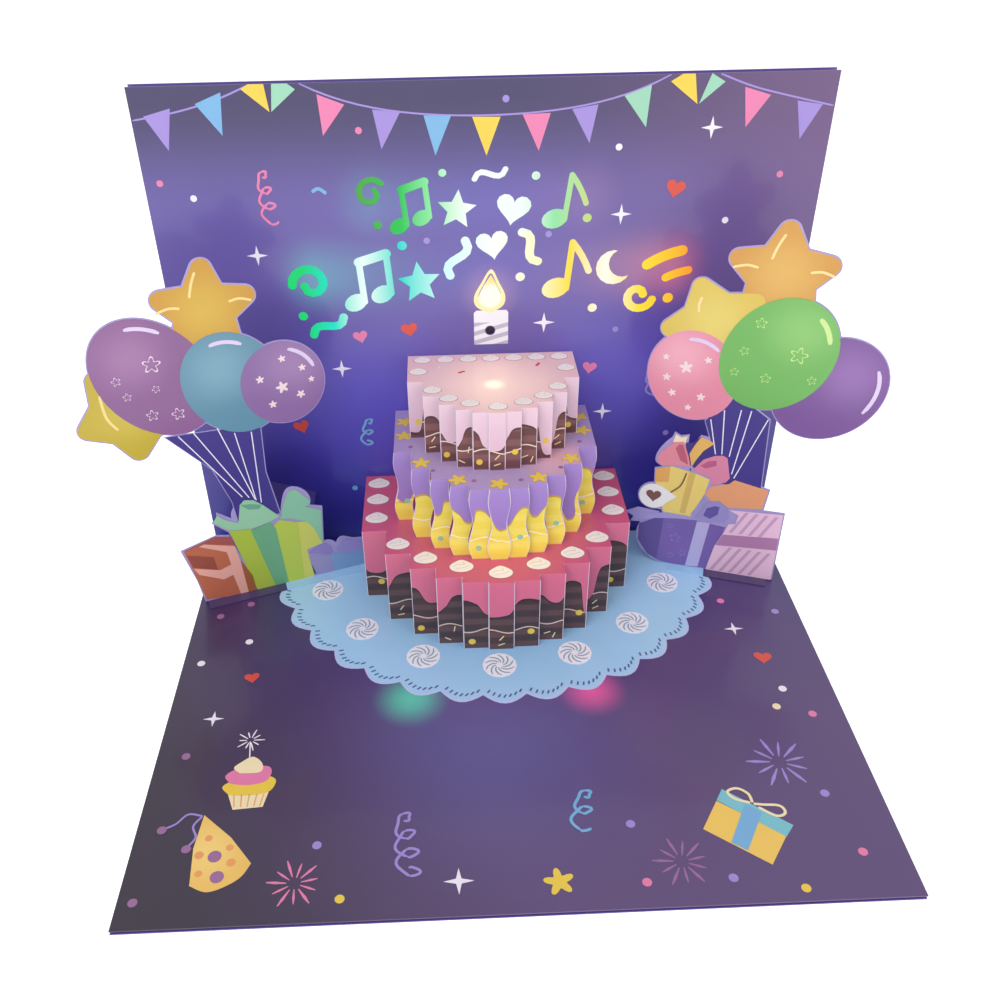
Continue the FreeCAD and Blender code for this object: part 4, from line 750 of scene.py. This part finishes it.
class Tier:
    """Where the strips of one tier lie, as the CAD part cuts and folds them."""

    def __init__(self, node, strip, depth, roundness):
        low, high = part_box(node)
        self.node, self.strip, self.top, self.floor = node, strip, high.z / MM, low.z / MM
        half = roundness * STRIPS
        self.reach = {k: depth * math.sqrt(1 - (2 * k / half) ** 2) for k in STRIP_NUMBERS}

    def middle(self, k):
        return CAKE_MIDDLE + k * self.strip

    def front(self, k):
        """The face of one strip, drawn sideways from its middle and up from the tier's foot."""
        return Sheet((self.middle(k), -self.reach[k], self.floor), (1, 0, 0), (0, 0, 1), "cake_card")

    def top_sheet(self):
        return Sheet((0, 0, self.top), (1, 0, 0), (0, 1, 0), "cake_card")


def iced(tier, top, drip, body, drizzled, line_colour, runs, drizzle_down, swing=0.0):
    """Print of one tier: icing down to a curved edge, a drizzled line, and white cut edges."""
    drizzle_half, shade_under, cut_half, slit_waves = 0.22, 0.7, 0.16, 9.74
    card = Finish(tier.node + "_print", *LAMINATE)
    faces = card.start.node("ShaderNodeTexCoord", {"out": "Normal"})
    normals = card.start.node("ShaderNodeSeparateXYZ", (), Vector=faces).socket.node.outputs
    facing_front = Value(card.start.tree, normals[1]).below(-0.9)
    facing_up = Value(card.start.tree, normals[2]).above(0.9) * card.z.above(tier.top - 1)
    down = tier.top - card.z
    tall = tier.top - tier.floor
    share = down / tall
    off = card.x - CAKE_MIDDLE
    wave = (share * 0.6 + 0.35) * (share * slit_waves).sine()
    run = card.x - off.maths("SIGN", off) * wave * swing
    length = ((run - CAKE_MIDDLE) / (tier.strip * STRIPS) + 0.5).curve(runs) * tall
    is_icing = down.below(length)
    drizzle = abs(down - drizzle_down - (run * 0.5).sine() * 0.8).below(drizzle_half)
    band = (down * 1.25 + 0.7).sine().step(-0.4, 0.6)
    body = (band * 0.5).mix(body, drizzled)
    under = (down - length).below(shade_under) * (1 - is_icing)
    print_colour = under.mix(body, line_colour[0])
    print_colour = drizzle.mix(print_colour, line_colour[1])
    print_colour = is_icing.mix(print_colour, share.mix(drip[0], drip[1]))
    in_strip = ((run - CAKE_MIDDLE) / tier.strip + 0.5).fract()
    cut = abs(in_strip - 0.5).above(0.5 - cut_half / tier.strip)
    print_colour = cut.mix(print_colour, ink(236, 226, 238))
    colour = facing_front.mix(ink(226, 218, 230), print_colour)
    return card, facing_up.mix(colour, top), facing_up


bottom = Tier("bottom_tier", 8.0, 62.5, 1.073)
middle = Tier("middle_tier", 5.85, 50.6, 1.078)
upper = Tier("top_tier", 4.9, 39.5, 1.026)
bottom_runs = [(0, .55), (.05, .64), (.1, .46), (.14, .3), (.19, .28), (.25, .52), (.3, .44), (.35, .26),
               (.41, .32), (.46, .5), (.52, .48), (.58, .27), (.64, .3), (.7, .43), (.75, .26), (.79, .3),
               (.82, .8), (.85, .74), (.88, .3), (.93, .26), (1, .46)]
middle_runs = [(0, .62), (.06, .72), (.1, .38), (.15, .36), (.2, .5), (.25, .3), (.3, .38), (.35, .52),
               (.4, .28), (.45, .38), (.5, .56), (.56, .5), (.62, .26), (.68, .46), (.74, .28), (.8, .3),
               (.84, .8), (.88, .72), (.91, .34), (.95, .3), (1, .5)]
upper_runs = [(0, .88), (.05, .9), (.09, .42), (.13, .34), (.19, .5), (.25, .66), (.3, .54), (.35, .3),
              (.39, .36), (.43, .6), (.5, .66), (.56, .44), (.61, .28), (.68, .3), (.74, .45), (.79, .94),
              (.83, .9), (.87, .4), (.91, .34), (.95, .7), (1, .74)]
card, colour, _ = iced(bottom, ink(208, 88, 122), (ink(228, 116, 148), ink(210, 98, 132)),
    ink(62, 38, 40), ink(112, 74, 74), (ink(38, 24, 30), ink(226, 200, 190)), bottom_runs, 19.5)
dress(card.paint(colour), "bottom_tier")
card, colour, up_mask = iced(middle, ink(176, 152, 200), (ink(172, 142, 212), ink(150, 116, 196)),
    ink(248, 226, 84), ink(252, 236, 120), (ink(206, 170, 80), ink(252, 246, 220)), middle_runs,
    18.5, 1.0)
# Painted light: a warm pool on the right of the middle tier's top, mixed into its colour.
painted_warm_light = card.near(20, -34, 54.5, 17) * up_mask * 0.7
dress(card.paint(painted_warm_light.mix(colour, ink(236, 176, 176))), "middle_tier")
card, colour, up_mask = iced(upper, ink(240, 196, 196), (ink(238, 206, 220), ink(224, 184, 206)),
    ink(106, 62, 62), ink(148, 100, 98), (ink(78, 44, 48), ink(240, 218, 204)), upper_runs, 13.5)
# Painted glow: the top of the top tier glows warm over the cake lamp, as emission of the card.
painted_lamp_glow = (card.near(0.8, -21.4, 74.5, 4.6) * 0.7 + card.near(0.8, -21.4, 74.5, 27) * 0.3) * up_mask
card.set("Emission Color", painted_lamp_glow.mix(DARK, ink(255, 236, 176)))
card.set("Emission Strength", 0.8)
dress(card.paint(colour), "top_tier")

round_angles = [2 * math.pi * k / 32 for k in range(32)]
cream_swirl = motif("cream_swirl", [
    (math.cos(a), 0.72 * math.sin(a) + 0.22 * max(math.sin(a), 0) ** 9) for a in round_angles])
cream_curl = motif("cream_curl",
                   line(smooth([(-0.72, 0.02), (-0.3, 0.3), (0.25, 0.32), (0.12, 0.62)]), 0.07),
                   line(smooth([(-0.5, -0.3), (0.1, -0.14), (0.72, 0.1)]), 0.06))
cream_white = printed("cream_white_ink", ink(250, 240, 232))
cream_shade = printed("cream_shade_ink", ink(228, 204, 200))
cream_edge = printed("cream_edge_ink", ink(176, 116, 128))


def on_rim(tier, inset, strips):
    """Places near the front edge of a tier's top, counted in strips from its middle."""
    return [(tier.middle(k), -tier.reach[round(k)] + inset) for k in strips]


def on_flank(tier, inset, side, depths):
    """Places near the left or right edge of a tier's top."""
    return [(tier.middle(STRIPS / 2 * side) - side * inset, -depth) for depth in depths]


rear_row = [(CAKE_MIDDLE + 7.4 * k, -3.4) for k in range(-3, 4)]
for tier, name, places, scale in (
        (bottom, "bottom_creams", on_rim(bottom, 5.0, (-4, -2.9, -1.5, 0, 1.5, 2.9, 4)) +
         on_flank(bottom, 4.6, -1, (5, 15, 26)) + on_flank(bottom, 4.6, 1, (5, 15, 26)), 3.7),
        (upper, "top_creams", rear_row + on_rim(upper, 3.8, (-3.9, -2.9, -1.6, 0.1, 1.7, 3, 4)) +
         on_flank(upper, 3.4, -1, (11.5,)) + on_flank(upper, 3.4, 1, (11.5,)), 2.75)):
    repeat(name + "_edges", cream_swirl, tier.top_sheet(), 0, cream_edge, places, scale * 1.06)
    repeat(name, cream_swirl, tier.top_sheet(), 1, cream_white, places, scale)
    repeat(name + "_curls", cream_curl, tier.top_sheet(), 2, cream_shade, places, scale)
middle_places = (on_rim(middle, 3.4, (-4, -2.1, 0, 2.1, 4))
                 + on_flank(middle, 3.2, -1, (8, 17)) + on_flank(middle, 3.2, 1, (8, 17)))
middle_places = [(u, v, 24 * k) for k, (u, v) in enumerate(middle_places)]
repeat("middle_star_edges", five_star, middle.top_sheet(), 0, printed("star_edge_ink", ink(206, 160, 70)),
       middle_places, 3.2)
repeat("middle_stars", five_star, middle.top_sheet(), 1, inks["yellow"], middle_places, 2.85)
repeat("middle_specks", dot, middle.top_sheet(), 0, inks["mauve"], [
    (-26.0, -24.0), (-19.0, -38.5), (-6.6, -45.0), (7.6, -45.4), (20.4, -39.0), (28.0, -24.0)], 0.8)
repeat("top_sprinkles", dash, upper.top_sheet(), 0, inks["red"], [
    (-9.0, -12.4, 30), (15.6, -8.6, 60)], 1.6)
repeat("top_sprinkles_small", dash, upper.top_sheet(), 0, inks["white"], [
    (-16.0, -8.6, 80), (8.4, -8.8, 140), (-5.0, -14.6, 10), (12.6, -18.0, 100), (-12.0, -21.0, 40)], 0.8)
stroke = motif("stroke", [(-1.0, -0.16), (1.0, -0.16), (1.0, 0.16), (-1.0, 0.16)])
for k in STRIP_NUMBERS:
    swing = math.sin(2.4 * k)
    if k % 2:
        repeat("bottom_front_dots_%d" % (k + 5), dot, bottom.front(k), 0, inks["yellow"],
               [(2.0 * swing, 4.6 + 2.6 * swing, 0, 1.15)])
        repeat("middle_front_dots_%d" % (k + 5), dot, middle.front(k), 0, inks["mint"],
               [(0.9 * swing, 6.0 + 2.8 * swing, 0, 0.95)])
        repeat("top_front_dots_%d" % (k + 5), dot, upper.front(k), 0, inks["yellow"],
               [(0.8 * swing, 4.4 + 2.4 * swing, 0, 1.0)])
    else:
        for tier, name in ((bottom, "bottom"), (upper, "top")):
            repeat("%s_front_strokes_%d" % (name, k + 5), stroke, tier.front(k), 0, inks["cream"], [
                (1.2 * swing, 4.6 + 1.5 * swing, 50 + 30 * swing),
                (-1.0 * swing, 2.0, 20 - 50 * swing)], 1.1)

# Arms: two folded struts of printed card. One end of each is glued to the back panel and the other
# to the rear of a wing, so that they pull the wings upright as the card opens.
strut = Finish("strut_card", roughness=0.42, coat=0.3)
dress(strut.paint(strut.noise(0.05).mix(ink(66, 58, 122), ink(84, 72, 148))), "left_arm", "right_arm")

# Wings: die-cut card panels with a narrow pale rim left round the printed balloons and gifts, each
# folded at its foot and glued to the base.
wing_card = Finish("wing_card_print", roughness=0.42, coat=0.3)
foot_tab = wing_card.z.below(2.0)
tab_x, tab_y = wing_card.x - 1, wing_card.y + 8
on_doily = (tab_x * tab_x + tab_y * tab_y).below(75 * 75)
tab_colour = on_doily.mix(ink(68, 54, 100), ink(156, 198, 234))
dress(wing_card.paint(foot_tab.mix(ink(166, 152, 206), tab_colour)), "left_wing", "right_wing")
SWING = math.radians(19)
PALE_RIM = 0.3
TIP_ROUND = 3.0
left = Sheet((0, 0, BASE_TOP), (math.cos(SWING), math.sin(SWING), 0), (0, 0, 1), "wing_card")
right = Sheet((0, 0, BASE_TOP), (math.cos(SWING), -math.sin(SWING), 0), (0, 0, 1), "wing_card")


def flip(points):
    return [(-u, v) for u, v in points]


def oval(u, v, along, across, turn, angles):
    """Points at angles round an oval with its long half-axis at turn degrees."""
    a0 = math.radians(turn)
    points = []
    for a in angles:
        far, near = along * math.cos(a), across * math.sin(a)
        points.append((u + far * math.cos(a0) - near * math.sin(a0),
                       v + far * math.sin(a0) + near * math.cos(a0)))
    return points


def balloon(u, v, along, across, turn):
    """The print of an oval balloon, inside the pale rim of the card."""
    angles = [2 * math.pi * k / 40 for k in range(40)]
    return oval(u, v, along - PALE_RIM, across - PALE_RIM, turn, angles)


def foil_star(u, v, tip, valley, turn):
    """A foil balloon star: a smaller star grown outwards, which rounds its tips."""
    corners = []
    for k in range(10):
        a = math.radians(turn) + math.pi * k / 5
        reach = tip - TIP_ROUND if k % 2 == 0 else valley - 0.9 * TIP_ROUND
        corners.append(Vector((u + reach * math.cos(a), v + reach * math.sin(a))))
    reach, points = TIP_ROUND - PALE_RIM, []
    for k, corner in enumerate(corners):
        along = [(corner - corners[k - 1]).normalized(), (corners[(k + 1) % 10] - corner).normalized()]
        start, end = (Vector((way.y, -way.x)) for way in along)
        if k % 2:
            points.append(tuple(corner + (start + end) * (reach / (1 + start.dot(end)))))
            continue
        points += [tuple(corner + start.slerp(end, t / 5) * reach) for t in range(6)]
    return points


def gleam(u, v, along, across, turn, start, end, thick=1.2):
    """A curved highlight that follows a balloon's edge."""
    angles = [math.radians(start + (end - start) * k / 8) for k in range(9)]
    return line(oval(u, v, along, across, turn, angles), thick)


star_outline = motif("star_outline", Band(
    ring_of(40, lambda a: 0.76 + 0.27 * math.cos(5 * (a - math.pi / 2))),
    ring_of(40, lambda a: 0.62 + 0.23 * math.cos(5 * (a - math.pi / 2))), True))
for side, sheet, name, level, dark, light, centre, outline in (
        ("left", left, "amber", 0, (200, 148, 46), (211, 172, 62), (-87, 103),
         foil_star(-87.0, 103.0, 15.6, 8.8, 85)),
        ("left", left, "yellow", 0, (190, 167, 44), (203, 182, 64), (-113, 76),
         foil_star(-112.8, 75.8, 16.8, 11.5, 52)),
        ("left", left, "teal", 2, (92, 140, 164), (118, 164, 184), (-86, 84),
         balloon(-82.3, 78.9, 17.7, 14.9, 116)),
        ("left", left, "mauve", 1, (136, 90, 142), (160, 114, 162), (-110, 92),
         balloon(-104.5, 84.8, 21.1, 15.7, 123)),
        ("left", left, "lilac", 3, (136, 100, 158), (156, 122, 172), (-64, 81),
         balloon(-67.6, 76.2, 14.0, 13.2, 95)),
        ("right", right, "amber", 0, (208, 150, 66), (220, 174, 86), (88, 109),
         foil_star(87.8, 108.5, 16.3, 9.8, 90)),
        ("right", right, "yellow", 1, (216, 188, 78), (226, 204, 104), (71, 92),
         foil_star(71.5, 90.5, 16.8, 11.3, 114.5)),
        ("right", right, "purple", 1, (118, 78, 148), (146, 106, 172), (112, 80),
         balloon(106.7, 74.6, 18.4, 15.6, 53)),
        ("right", right, "pink", 2, (224, 136, 160), (238, 168, 186), (62, 80),
         balloon(66.3, 73.9, 15.6, 14.1, 110)),
        ("right", right, "green", 3, (108, 178, 86), (136, 196, 108), (96, 92),
         balloon(90.5, 83.8, 19.8, 16.2, 59))):
    brightest = sheet.at(*centre, 0) / MM
    balloon_ink = printed("%s_%s_ink" % (side, name), ink(*dark), ink(*light), brightest, 15)
    prints("%s_%s_balloon" % (side, name), sheet, level, balloon_ink, [outline])
glints = printed("glint_ink", ink(222, 204, 236))
prints("left_glints", left, 4, glints, [
    gleam(-104.5, 84.8, 17.6, 12.8, 123, -58, -20), gleam(-82.3, 78.9, 14.2, 11.8, 116, -50, -5),
    gleam(-67.6, 76.2, 11.2, 10.6, 95, -75, -20)])
prints("right_glints", right, 4, glints, [
    gleam(66.3, 73.9, 12.4, 11.2, 110, -60, -10), gleam(106.7, 74.6, 15.4, 12.6, 53, -85, -25)])
prints("right_green_glint", right, 4, printed("green_glint_ink", ink(206, 232, 150)), [
    gleam(90.5, 83.8, 16.4, 13.2, 59, -44, -8, 1.5)])


def tip_gleams(u, v, size):
    """Thin highlights along the folds of a foil star's tips."""
    strokes = ([(-0.05, 0.74), (-0.15, 0.52), (-0.22, 0.28)],
               [(-0.86, 0.08), (-0.62, 0.14), (-0.42, 0.11)],
               [(0.88, 0.06), (0.66, 0.13), (0.46, 0.1)])
    return [line(smooth([(u + a * size, v + b * size) for a, b in stroke]), 0.75) for stroke in strokes]


prints("left_star_gleams", left, 1, printed("star_gleam_ink", ink(240, 214, 140)), [
    line(smooth([(-120.4, 82.6), (-120.0, 75.2), (-117.6, 70.6)]), 0.8)] + tip_gleams(-87.0, 103.0, 15.6))
prints("right_star_gleams", right, 2, printed("star_gleam_ink_2", ink(246, 220, 150)), [
    line(smooth([(66.2, 99.8), (65.6, 97.4), (65.8, 95.0)]), 0.8)] + tip_gleams(87.8, 108.5, 16.3))
for side, sheet, level, drawing, colour, places in (
        ("left_mauve", left, 4, star_outline, ink(240, 218, 238), [
            (-115.0, 86.0, 10, 1.4), (-104.4, 89.4, -8, 2.7), (-113.0, 80.6, 0, 1.3),
            (-104.6, 81.6, 20, 1.2), (-107.2, 73.4, 0, 1.8), (-99.8, 72.4, 10, 2.0)]),
        ("right_green", right, 4, star_outline, ink(204, 236, 146), [
            (84.2, 93.6, 0, 1.7), (80.6, 84.2, 20, 1.4), (96.4, 84.6, -10, 2.7),
            (88.0, 76.0, 0, 1.6), (101.4, 77.0, 14, 1.4), (78.6, 77.0, 0, 1.3)]),
        ("left_lilac", left, 4, five_star, ink(242, 218, 222), [
            (-74.4, 78.6, 0, 1.3), (-68.0, 74.8, 15, 2.0), (-61.2, 80.2, 0, 1.2), (-62.6, 71.4, 30, 1.4),
            (-71.6, 69.6, 0, 1.3), (-67.0, 84.2, 10, 1.2), (-58.8, 75.8, 0, 1.0)]),
        ("right_pink", right, 3, five_star, ink(242, 218, 222), [
            (64.0, 76.6, 10, 2.1), (58.4, 72.6, 0, 1.3), (60.6, 67.4, 20, 1.3), (69.6, 67.0, 0, 1.4),
            (66.0, 62.8, 0, 1.1), (57.6, 79.4, 0, 1.1), (70.4, 79.8, 14, 1.2)])):
    repeat(side + "_stars", drawing, sheet, level, printed(side + "_star_ink", colour), places)

# Backing and strings printed where the wings stay whole between the balloons and the gifts: a dark
# panel first, and the pale strings over it.
backing = printed("backing_ink", ink(60, 48, 132), ink(46, 38, 112), (0, 0, 40), 90)
prints("left_backing", left, 0, backing, [flip([
    (105.0, 65.2), (93.2, 50.9), (89.1, 37.6), (88.3, 29.3), (74.6, 29.3), (77.1, 46.3), (76.5, 63.6)])])
prints("right_backing", right, 0, backing, [[
    (72.0, 58.8), (76.7, 46.1), (78.4, 36.4), (92.5, 35.4), (91.4, 61.9), (80.0, 69.6)]])
strings = printed("string_ink", ink(240, 236, 250))
prints("left_strings", left, 2, strings, [line([(-a, b), (-c, d)], 0.55) for a, b, c, d in (
    (101.3, 64.8, 85.7, 38.7), (96.7, 65, 83.6, 37.9), (89.5, 65.1, 81.8, 36.7),
    (84.6, 62.3, 81.5, 36.3), (79.5, 61.6, 80, 35.1))])
prints("right_strings", right, 2, strings, [line([(a, b), (c, d)], 0.55) for a, b, c, d in (
    (73.6, 59.6, 76.6, 47.1), (77.4, 63.5, 78.6, 47.4), (82.5, 64.2, 81, 46.9),
    (85.6, 64.3, 82.6, 40.4), (91.0, 62.1, 83.5, 39))])

# Gifts printed on the lower part of the wings, where they stand on the doily: box faces first, then
# ribbons, then bows, each ink over the last.
for name, level, colour, outline in (
        ("tan_box", 2, (188, 104, 74), [(107.2, 22.8), (96.8, 25.8), (91.5, 24.4), (89.7, 10.7),
            (86.2, 0.3), (95.7, 0.3), (103.3, 1.3), (104.8, 9.9)]),
        ("tan_lid", 3, (166, 84, 78), [(107.2, 22.8), (96.8, 25.8), (91.5, 24.4), (91, 20.9),
            (100.5, 23.9)]),
        ("tan_panel", 3, (150, 76, 60), [(106.6, 21.0), (98.3, 17.9), (97.8, 12.5), (105.4, 15.6)]),
        ("tan_side", 3, (160, 92, 50), [(90, 14.2), (86.9, 7), (86.4, 0.3), (89.4, 0.3)]),
        ("lime_left", 3, (172, 194, 66), [(91.8, 26.8), (84.4, 25.6), (79.8, 0.3), (86.1, 0.3)]),
        ("teal_band", 4, (106, 172, 128), [(84.9, 25.2), (78.6, 26.7), (76.7, 24), (75.2, 0.3),
            (79.8, 0.3)]),
        ("lime_right", 3, (184, 204, 70), [(78.2, 24.4), (75, 26.8), (69.1, 24.1), (69.6, 0.3),
            (75.4, 0.3)]),
        ("yellow_side", 2, (206, 208, 92), [(69.7, 24.5), (66.1, 23.6), (64.1, 20.6), (61.7, 13.4),
            (67.3, 12.3), (66.0, 0.3), (69.8, 0.3)]),
        ("mint_left", 5, (150, 202, 166), [(88.4, 29.3), (87.0, 35.9), (85.4, 37.4), (82.5, 36.7),
            (79.7, 34.1), (74.9, 28.3), (78.6, 26.8), (84.4, 25.8), (91.6, 26.9), (96.2, 31.1),
            (94.7, 33.9), (92.5, 31.5), (89.2, 29.5)]),
        ("mint_fold", 6, (108, 166, 140), [(86.8, 35.9), (84.5, 33.5), (81.2, 32.9), (79.9, 34.2),
            (83.4, 35.4)]),
        ("mint_right", 5, (138, 196, 162), [(74.1, 28.7), (73.1, 32.9), (71.0, 36.9), (68.9, 37.5),
            (67.6, 36.2), (64.2, 31.7), (64.7, 30.3), (66.2, 29.9), (60.9, 27.1), (61.6, 14.0),
            (64.1, 20.6), (66.1, 23.6), (71.5, 26.6), (75, 27.1)]),
        ("blue_face", 2, (126, 160, 206), [(59.5, 8.1), (46.7, 7.2), (46.7, 0.8), (58.7, 0.3)]),
        ("lilac_face", 2, (152, 146, 196), [(67.2, 9.3), (59.5, 8.1), (58.7, 0.3), (65.0, 0.3)]),
        ("lilac_bow_left", 3, (142, 128, 196), [(67.2, 10.6), (63.1, 13.2), (60.7, 13.4), (59.3, 11.6),
            (58.5, 8.9), (59.5, 8.0)]),
        ("lilac_bow_right", 3, (156, 142, 208), [(57.5, 9.3), (55.1, 12.4), (53.3, 13.0), (50.7, 11.6),
            (47.4, 11.0), (47.4, 7.6), (49.7, 6.8), (55.8, 7.2)])):
    prints("left_" + name, left, level, printed(name + "_ink", ink(*colour)), [flip(outline)])
prints("left_tan_ribbon", left, 4, printed("tan_ribbon_ink", ink(232, 170, 158)), [flip([
    (102.3, 23.3), (100.5, 23.8), (91, 20.5), (90, 14.2), (89.2, 0.3), (91.9, 0.3), (93.2, 9), (96.5, 8),
    (104.0, 12.2), (105.4, 15.2), (97.1, 12.1), (93.2, 13.4), (93.9, 18.8)])])

for name, level, colour, outline in (
        ("cream_tail", 2, (240, 226, 190), [(62.7, 49.6), (63.4, 52.6), (65.3, 51.6), (67.1, 52.4),
            (66.8, 49.6)]),
        ("orange_tail", 2, (228, 178, 92), [(68.4, 46), (69.9, 49.7), (71.5, 52.7), (74.0, 51.9),
            (75.9, 51.0), (72.7, 47.7), (70.7, 43.8), (69.6, 41)]),
        ("rose_bow_left", 3, (226, 138, 154), [(58.0, 42.3), (59.3, 45.3), (63.2, 49.6), (66.2, 50.2),
            (68.3, 44.7), (69.2, 41.1), (66.1, 40.9), (63.2, 40.6), (59.6, 40.2)]),
        ("rose_fold_left", 4, (186, 92, 112), [(63.8, 47.3), (64.8, 49.0), (66, 49.1), (67.6, 45),
            (68.4, 41.8), (65.8, 43)]),
        ("rose_bow_right", 3, (218, 132, 162), [(70.7, 40.9), (73.1, 44.5), (76.6, 46.5), (79.1, 47.0),
            (80.6, 46.2), (81.7, 41.2), (82.3, 38.9), (81.2, 37), (76.9, 35.2), (76, 38), (72.7, 38.9),
            (69.9, 40.3)]),
        ("rose_fold_right", 4, (182, 92, 128), [(72.3, 42), (74.8, 44.2), (77.3, 44.8), (77.5, 42.9),
            (74.2, 41.3)]),
        ("yellow_gift", 1, (236, 208, 112), [(58.1, 38.3), (63.2, 40.3), (71.3, 38.7), (76.0, 37.2),
            (75, 31.4), (71.3, 21.0), (62.4, 21.0), (58.4, 33.4)]),
        ("yellow_left", 2, (228, 168, 84), [(58.1, 38.3), (62.9, 40.1), (62.8, 34), (58.4, 33.4)]),
        ("yellow_band", 2, (214, 180, 92), [(69.1, 39.2), (71.3, 38.7), (69.5, 22.4), (67.6, 22.5)]),
        ("tag_point", 3, (240, 236, 236), [(66.0, 28.5), (60.4, 32.2), (60.4, 23.6)]),
        ("orange_box", 1, (230, 158, 112), [(75, 31.4), (76.6, 34.5), (82.4, 36.6), (83.9, 38.3),
            (95.0, 36.1), (94.0, 28.6), (83.7, 27.3), (77.5, 28.6)]),
        ("violet_tail", 4, (164, 152, 212), [(49.9, 19.5), (50.9, 20.7), (56, 20.1), (63.3, 21.8),
            (72.8, 21.5), (73.4, 20.4), (66.8, 19.9), (59.8, 18.8), (53.5, 16.4), (51.7, 16.3),
            (52.3, 18.2)]),
        ("violet_strip", 3, (156, 146, 206), [(71.3, 22.3), (75, 30.4), (75.6, 29.3), (73.1, 22.2)]),
        ("violet_bow", 5, (152, 142, 200), [(72.9, 21.3), (75, 25.2), (76.2, 28.6), (80.1, 29.4),
            (83.1, 27.4), (84.0, 23.4), (82.7, 21.1), (78, 20.9)]),
        ("violet_inside", 6, (96, 80, 156), [(75.5, 22.8), (76.4, 25.9), (79, 27.3), (80.5, 27.1),
            (80.2, 24), (77.9, 21.9)]),
        ("violet_gift", 2, (118, 90, 168), [(54.4, 15.4), (59.8, 18.8), (68.2, 20.4), (73.4, 20.2),
            (83.3, 19.2), (78.9, 0.8), (71.8, 0.5), (67.0, 0.4), (62.8, 0.8), (58.2, 3.1),
            (54.5, 8.7)]),
        ("violet_shade", 3, (92, 70, 146), [(54.4, 15.4), (59.8, 18.8), (62.6, 19.4), (61.6, 1.4),
            (58.2, 3.1), (54.5, 8.7)]),
        ("violet_ribbon", 4, (186, 176, 224), [(73.8, 20), (78.1, 20), (76.1, 1.0), (71.8, 0.6)]),
        ("striped_box", 3, (236, 196, 222), [(83.8, 26.4), (101.1, 27.6), (101.1, 0.4), (78.9, 0.4),
            (80.7, 10.9), (82.9, 16.4), (84.2, 20.7), (86.4, 21.2), (87.0, 24.8)]),
        ("mauve_band", 5, (178, 126, 170), [(83, 16.2), (101.0, 18.0), (101.0, 13.1), (81, 11.4)])):
    prints("right_" + name, right, level, printed(name + "_ink", ink(*colour)), [outline])
stripes = [[(u, 0.8), (u + 1.2, 0.8), (u + 6.6, 11.4), (u + 5.4, 11.3)]
           for u in (80.2, 83.4, 86.6, 89.8, 93.0)]
stripes += [[(u, 17.4), (u + 1.2, 17.5), (u + 5.6, 26.5), (u + 4.4, 26.4)]
            for u in (84.6, 87.8, 91.0, 94.2)]
prints("right_box_stripes", right, 4, printed("stripe_ink", ink(202, 160, 196)), stripes)
prints("right_bow_gap", right, 1, printed("gap_ink", ink(58, 46, 124)), [[
    (66.8, 50.0), (69.2, 50.2), (71.4, 52.8), (76.2, 51.0), (78.4, 47.2), (70.6, 40.8), (67.6, 42.6)]])
prints("right_tag", right, 4, printed("tag_ink", ink(240, 236, 236)), [ring_of(28, 4.85, 58.3, 27.7)])
repeat("right_tag_heart", heart_drawing, right, 5, inks["brown"], [(58.3, 28.0)], 2.6)
repeat("right_gift_specks", star_outline, right, 4, inks["lilac"], [
    (67.2, 11.8, 0, 1.9), (70.2, 5.8, 20, 1.4), (66.4, 4.2, 0, 1.2), (65.0, 16.4, 10, 1.1)])
prints("right_tag_string", right, 4, inks["brown"], [line(smooth([
    (63.8, 30.0), (66.9, 33.4), (68.3, 38.6)]), 0.5)])

# Studio: a white floor that runs out of the frame, soft light from above and in front, and the
# camera in the place that the photograph's perspective gives.
floor_mesh = bpy.data.meshes.new("floor")
floor_mesh.from_pydata([(-3, -3, 0), (3, -3, 0), (3, 3, 0), (-3, 3, 0)], [], [(0, 1, 2, 3)])
floor = bpy.data.objects.new("floor", floor_mesh)
bpy.context.scene.collection.objects.link(floor)
ground = Finish("floor_white", roughness=0.9)
ground.set("Emission Color", (1, 1, 1, 1))
ground.set("Emission Strength", 0.6)
floor_mesh.materials.append(ground.paint(ink(250, 250, 250), mottle=0.005))

world = bpy.data.worlds.new("soft_room")
world.use_nodes = True
bpy.context.scene.world = world
backdrop = world.node_tree.nodes["Background"]
backdrop.inputs["Color"].default_value = (1, 1, 1, 1)
rays = Value(world.node_tree, None).node("ShaderNodeLightPath").socket.node.outputs
in_camera, in_gloss, in_glass = (Value(world.node_tree, rays[name]) for name in (
    "Is Camera Ray", "Is Glossy Ray", "Is Transmission Ray"))
seen = in_camera.highest(in_gloss.highest(in_glass))
world.node_tree.links.new((seen * 0.58 + 0.42).socket, backdrop.inputs["Strength"])
for name, place, width, watts in (("key_light", (-0.35, -0.75, 0.95), 0.9, 8.0),
        ("fill_light", (0.8, -0.5, 0.7), 0.9, 3.0)):
    light = bpy.data.lights.new(name, "AREA")
    light.shape, light.size, light.energy = "SQUARE", width, watts
    lamp_object = bpy.data.objects.new(name, light)
    lamp_object.location = place
    towards_cake = Vector((0, -0.06, 0.05)) - Vector(place)
    lamp_object.rotation_euler = towards_cake.to_track_quat("-Z", "Y").to_euler()
    bpy.context.scene.collection.objects.link(lamp_object)

YAW, PITCH, ROLL = math.radians(-1.67), math.radians(35.823), math.radians(1.017)
camera_data = bpy.data.cameras.new("camera")
camera_data.lens, camera_data.sensor_width = 36.19, 36.0
camera_data.shift_x, camera_data.shift_y = 0.0259, 0.0296
camera = bpy.data.objects.new("camera", camera_data)
aim = (Matrix.Rotation(YAW, 3, "Z") @ Matrix.Rotation(math.pi / 2 - PITCH, 3, "X")
       @ Matrix.Rotation(-ROLL, 3, "Z"))
camera.matrix_world = Matrix.Translation(Vector((-14.27, -300.175, 220.562)) * MM) @ aim.to_4x4()
bpy.context.scene.collection.objects.link(camera)
bpy.context.scene.camera = camera
bpy.context.scene.view_settings.view_transform = "Standard"

# The loose motifs have been copied on to the card and are taken away.
for drawing in motifs:
    bpy.data.objects.remove(drawing)
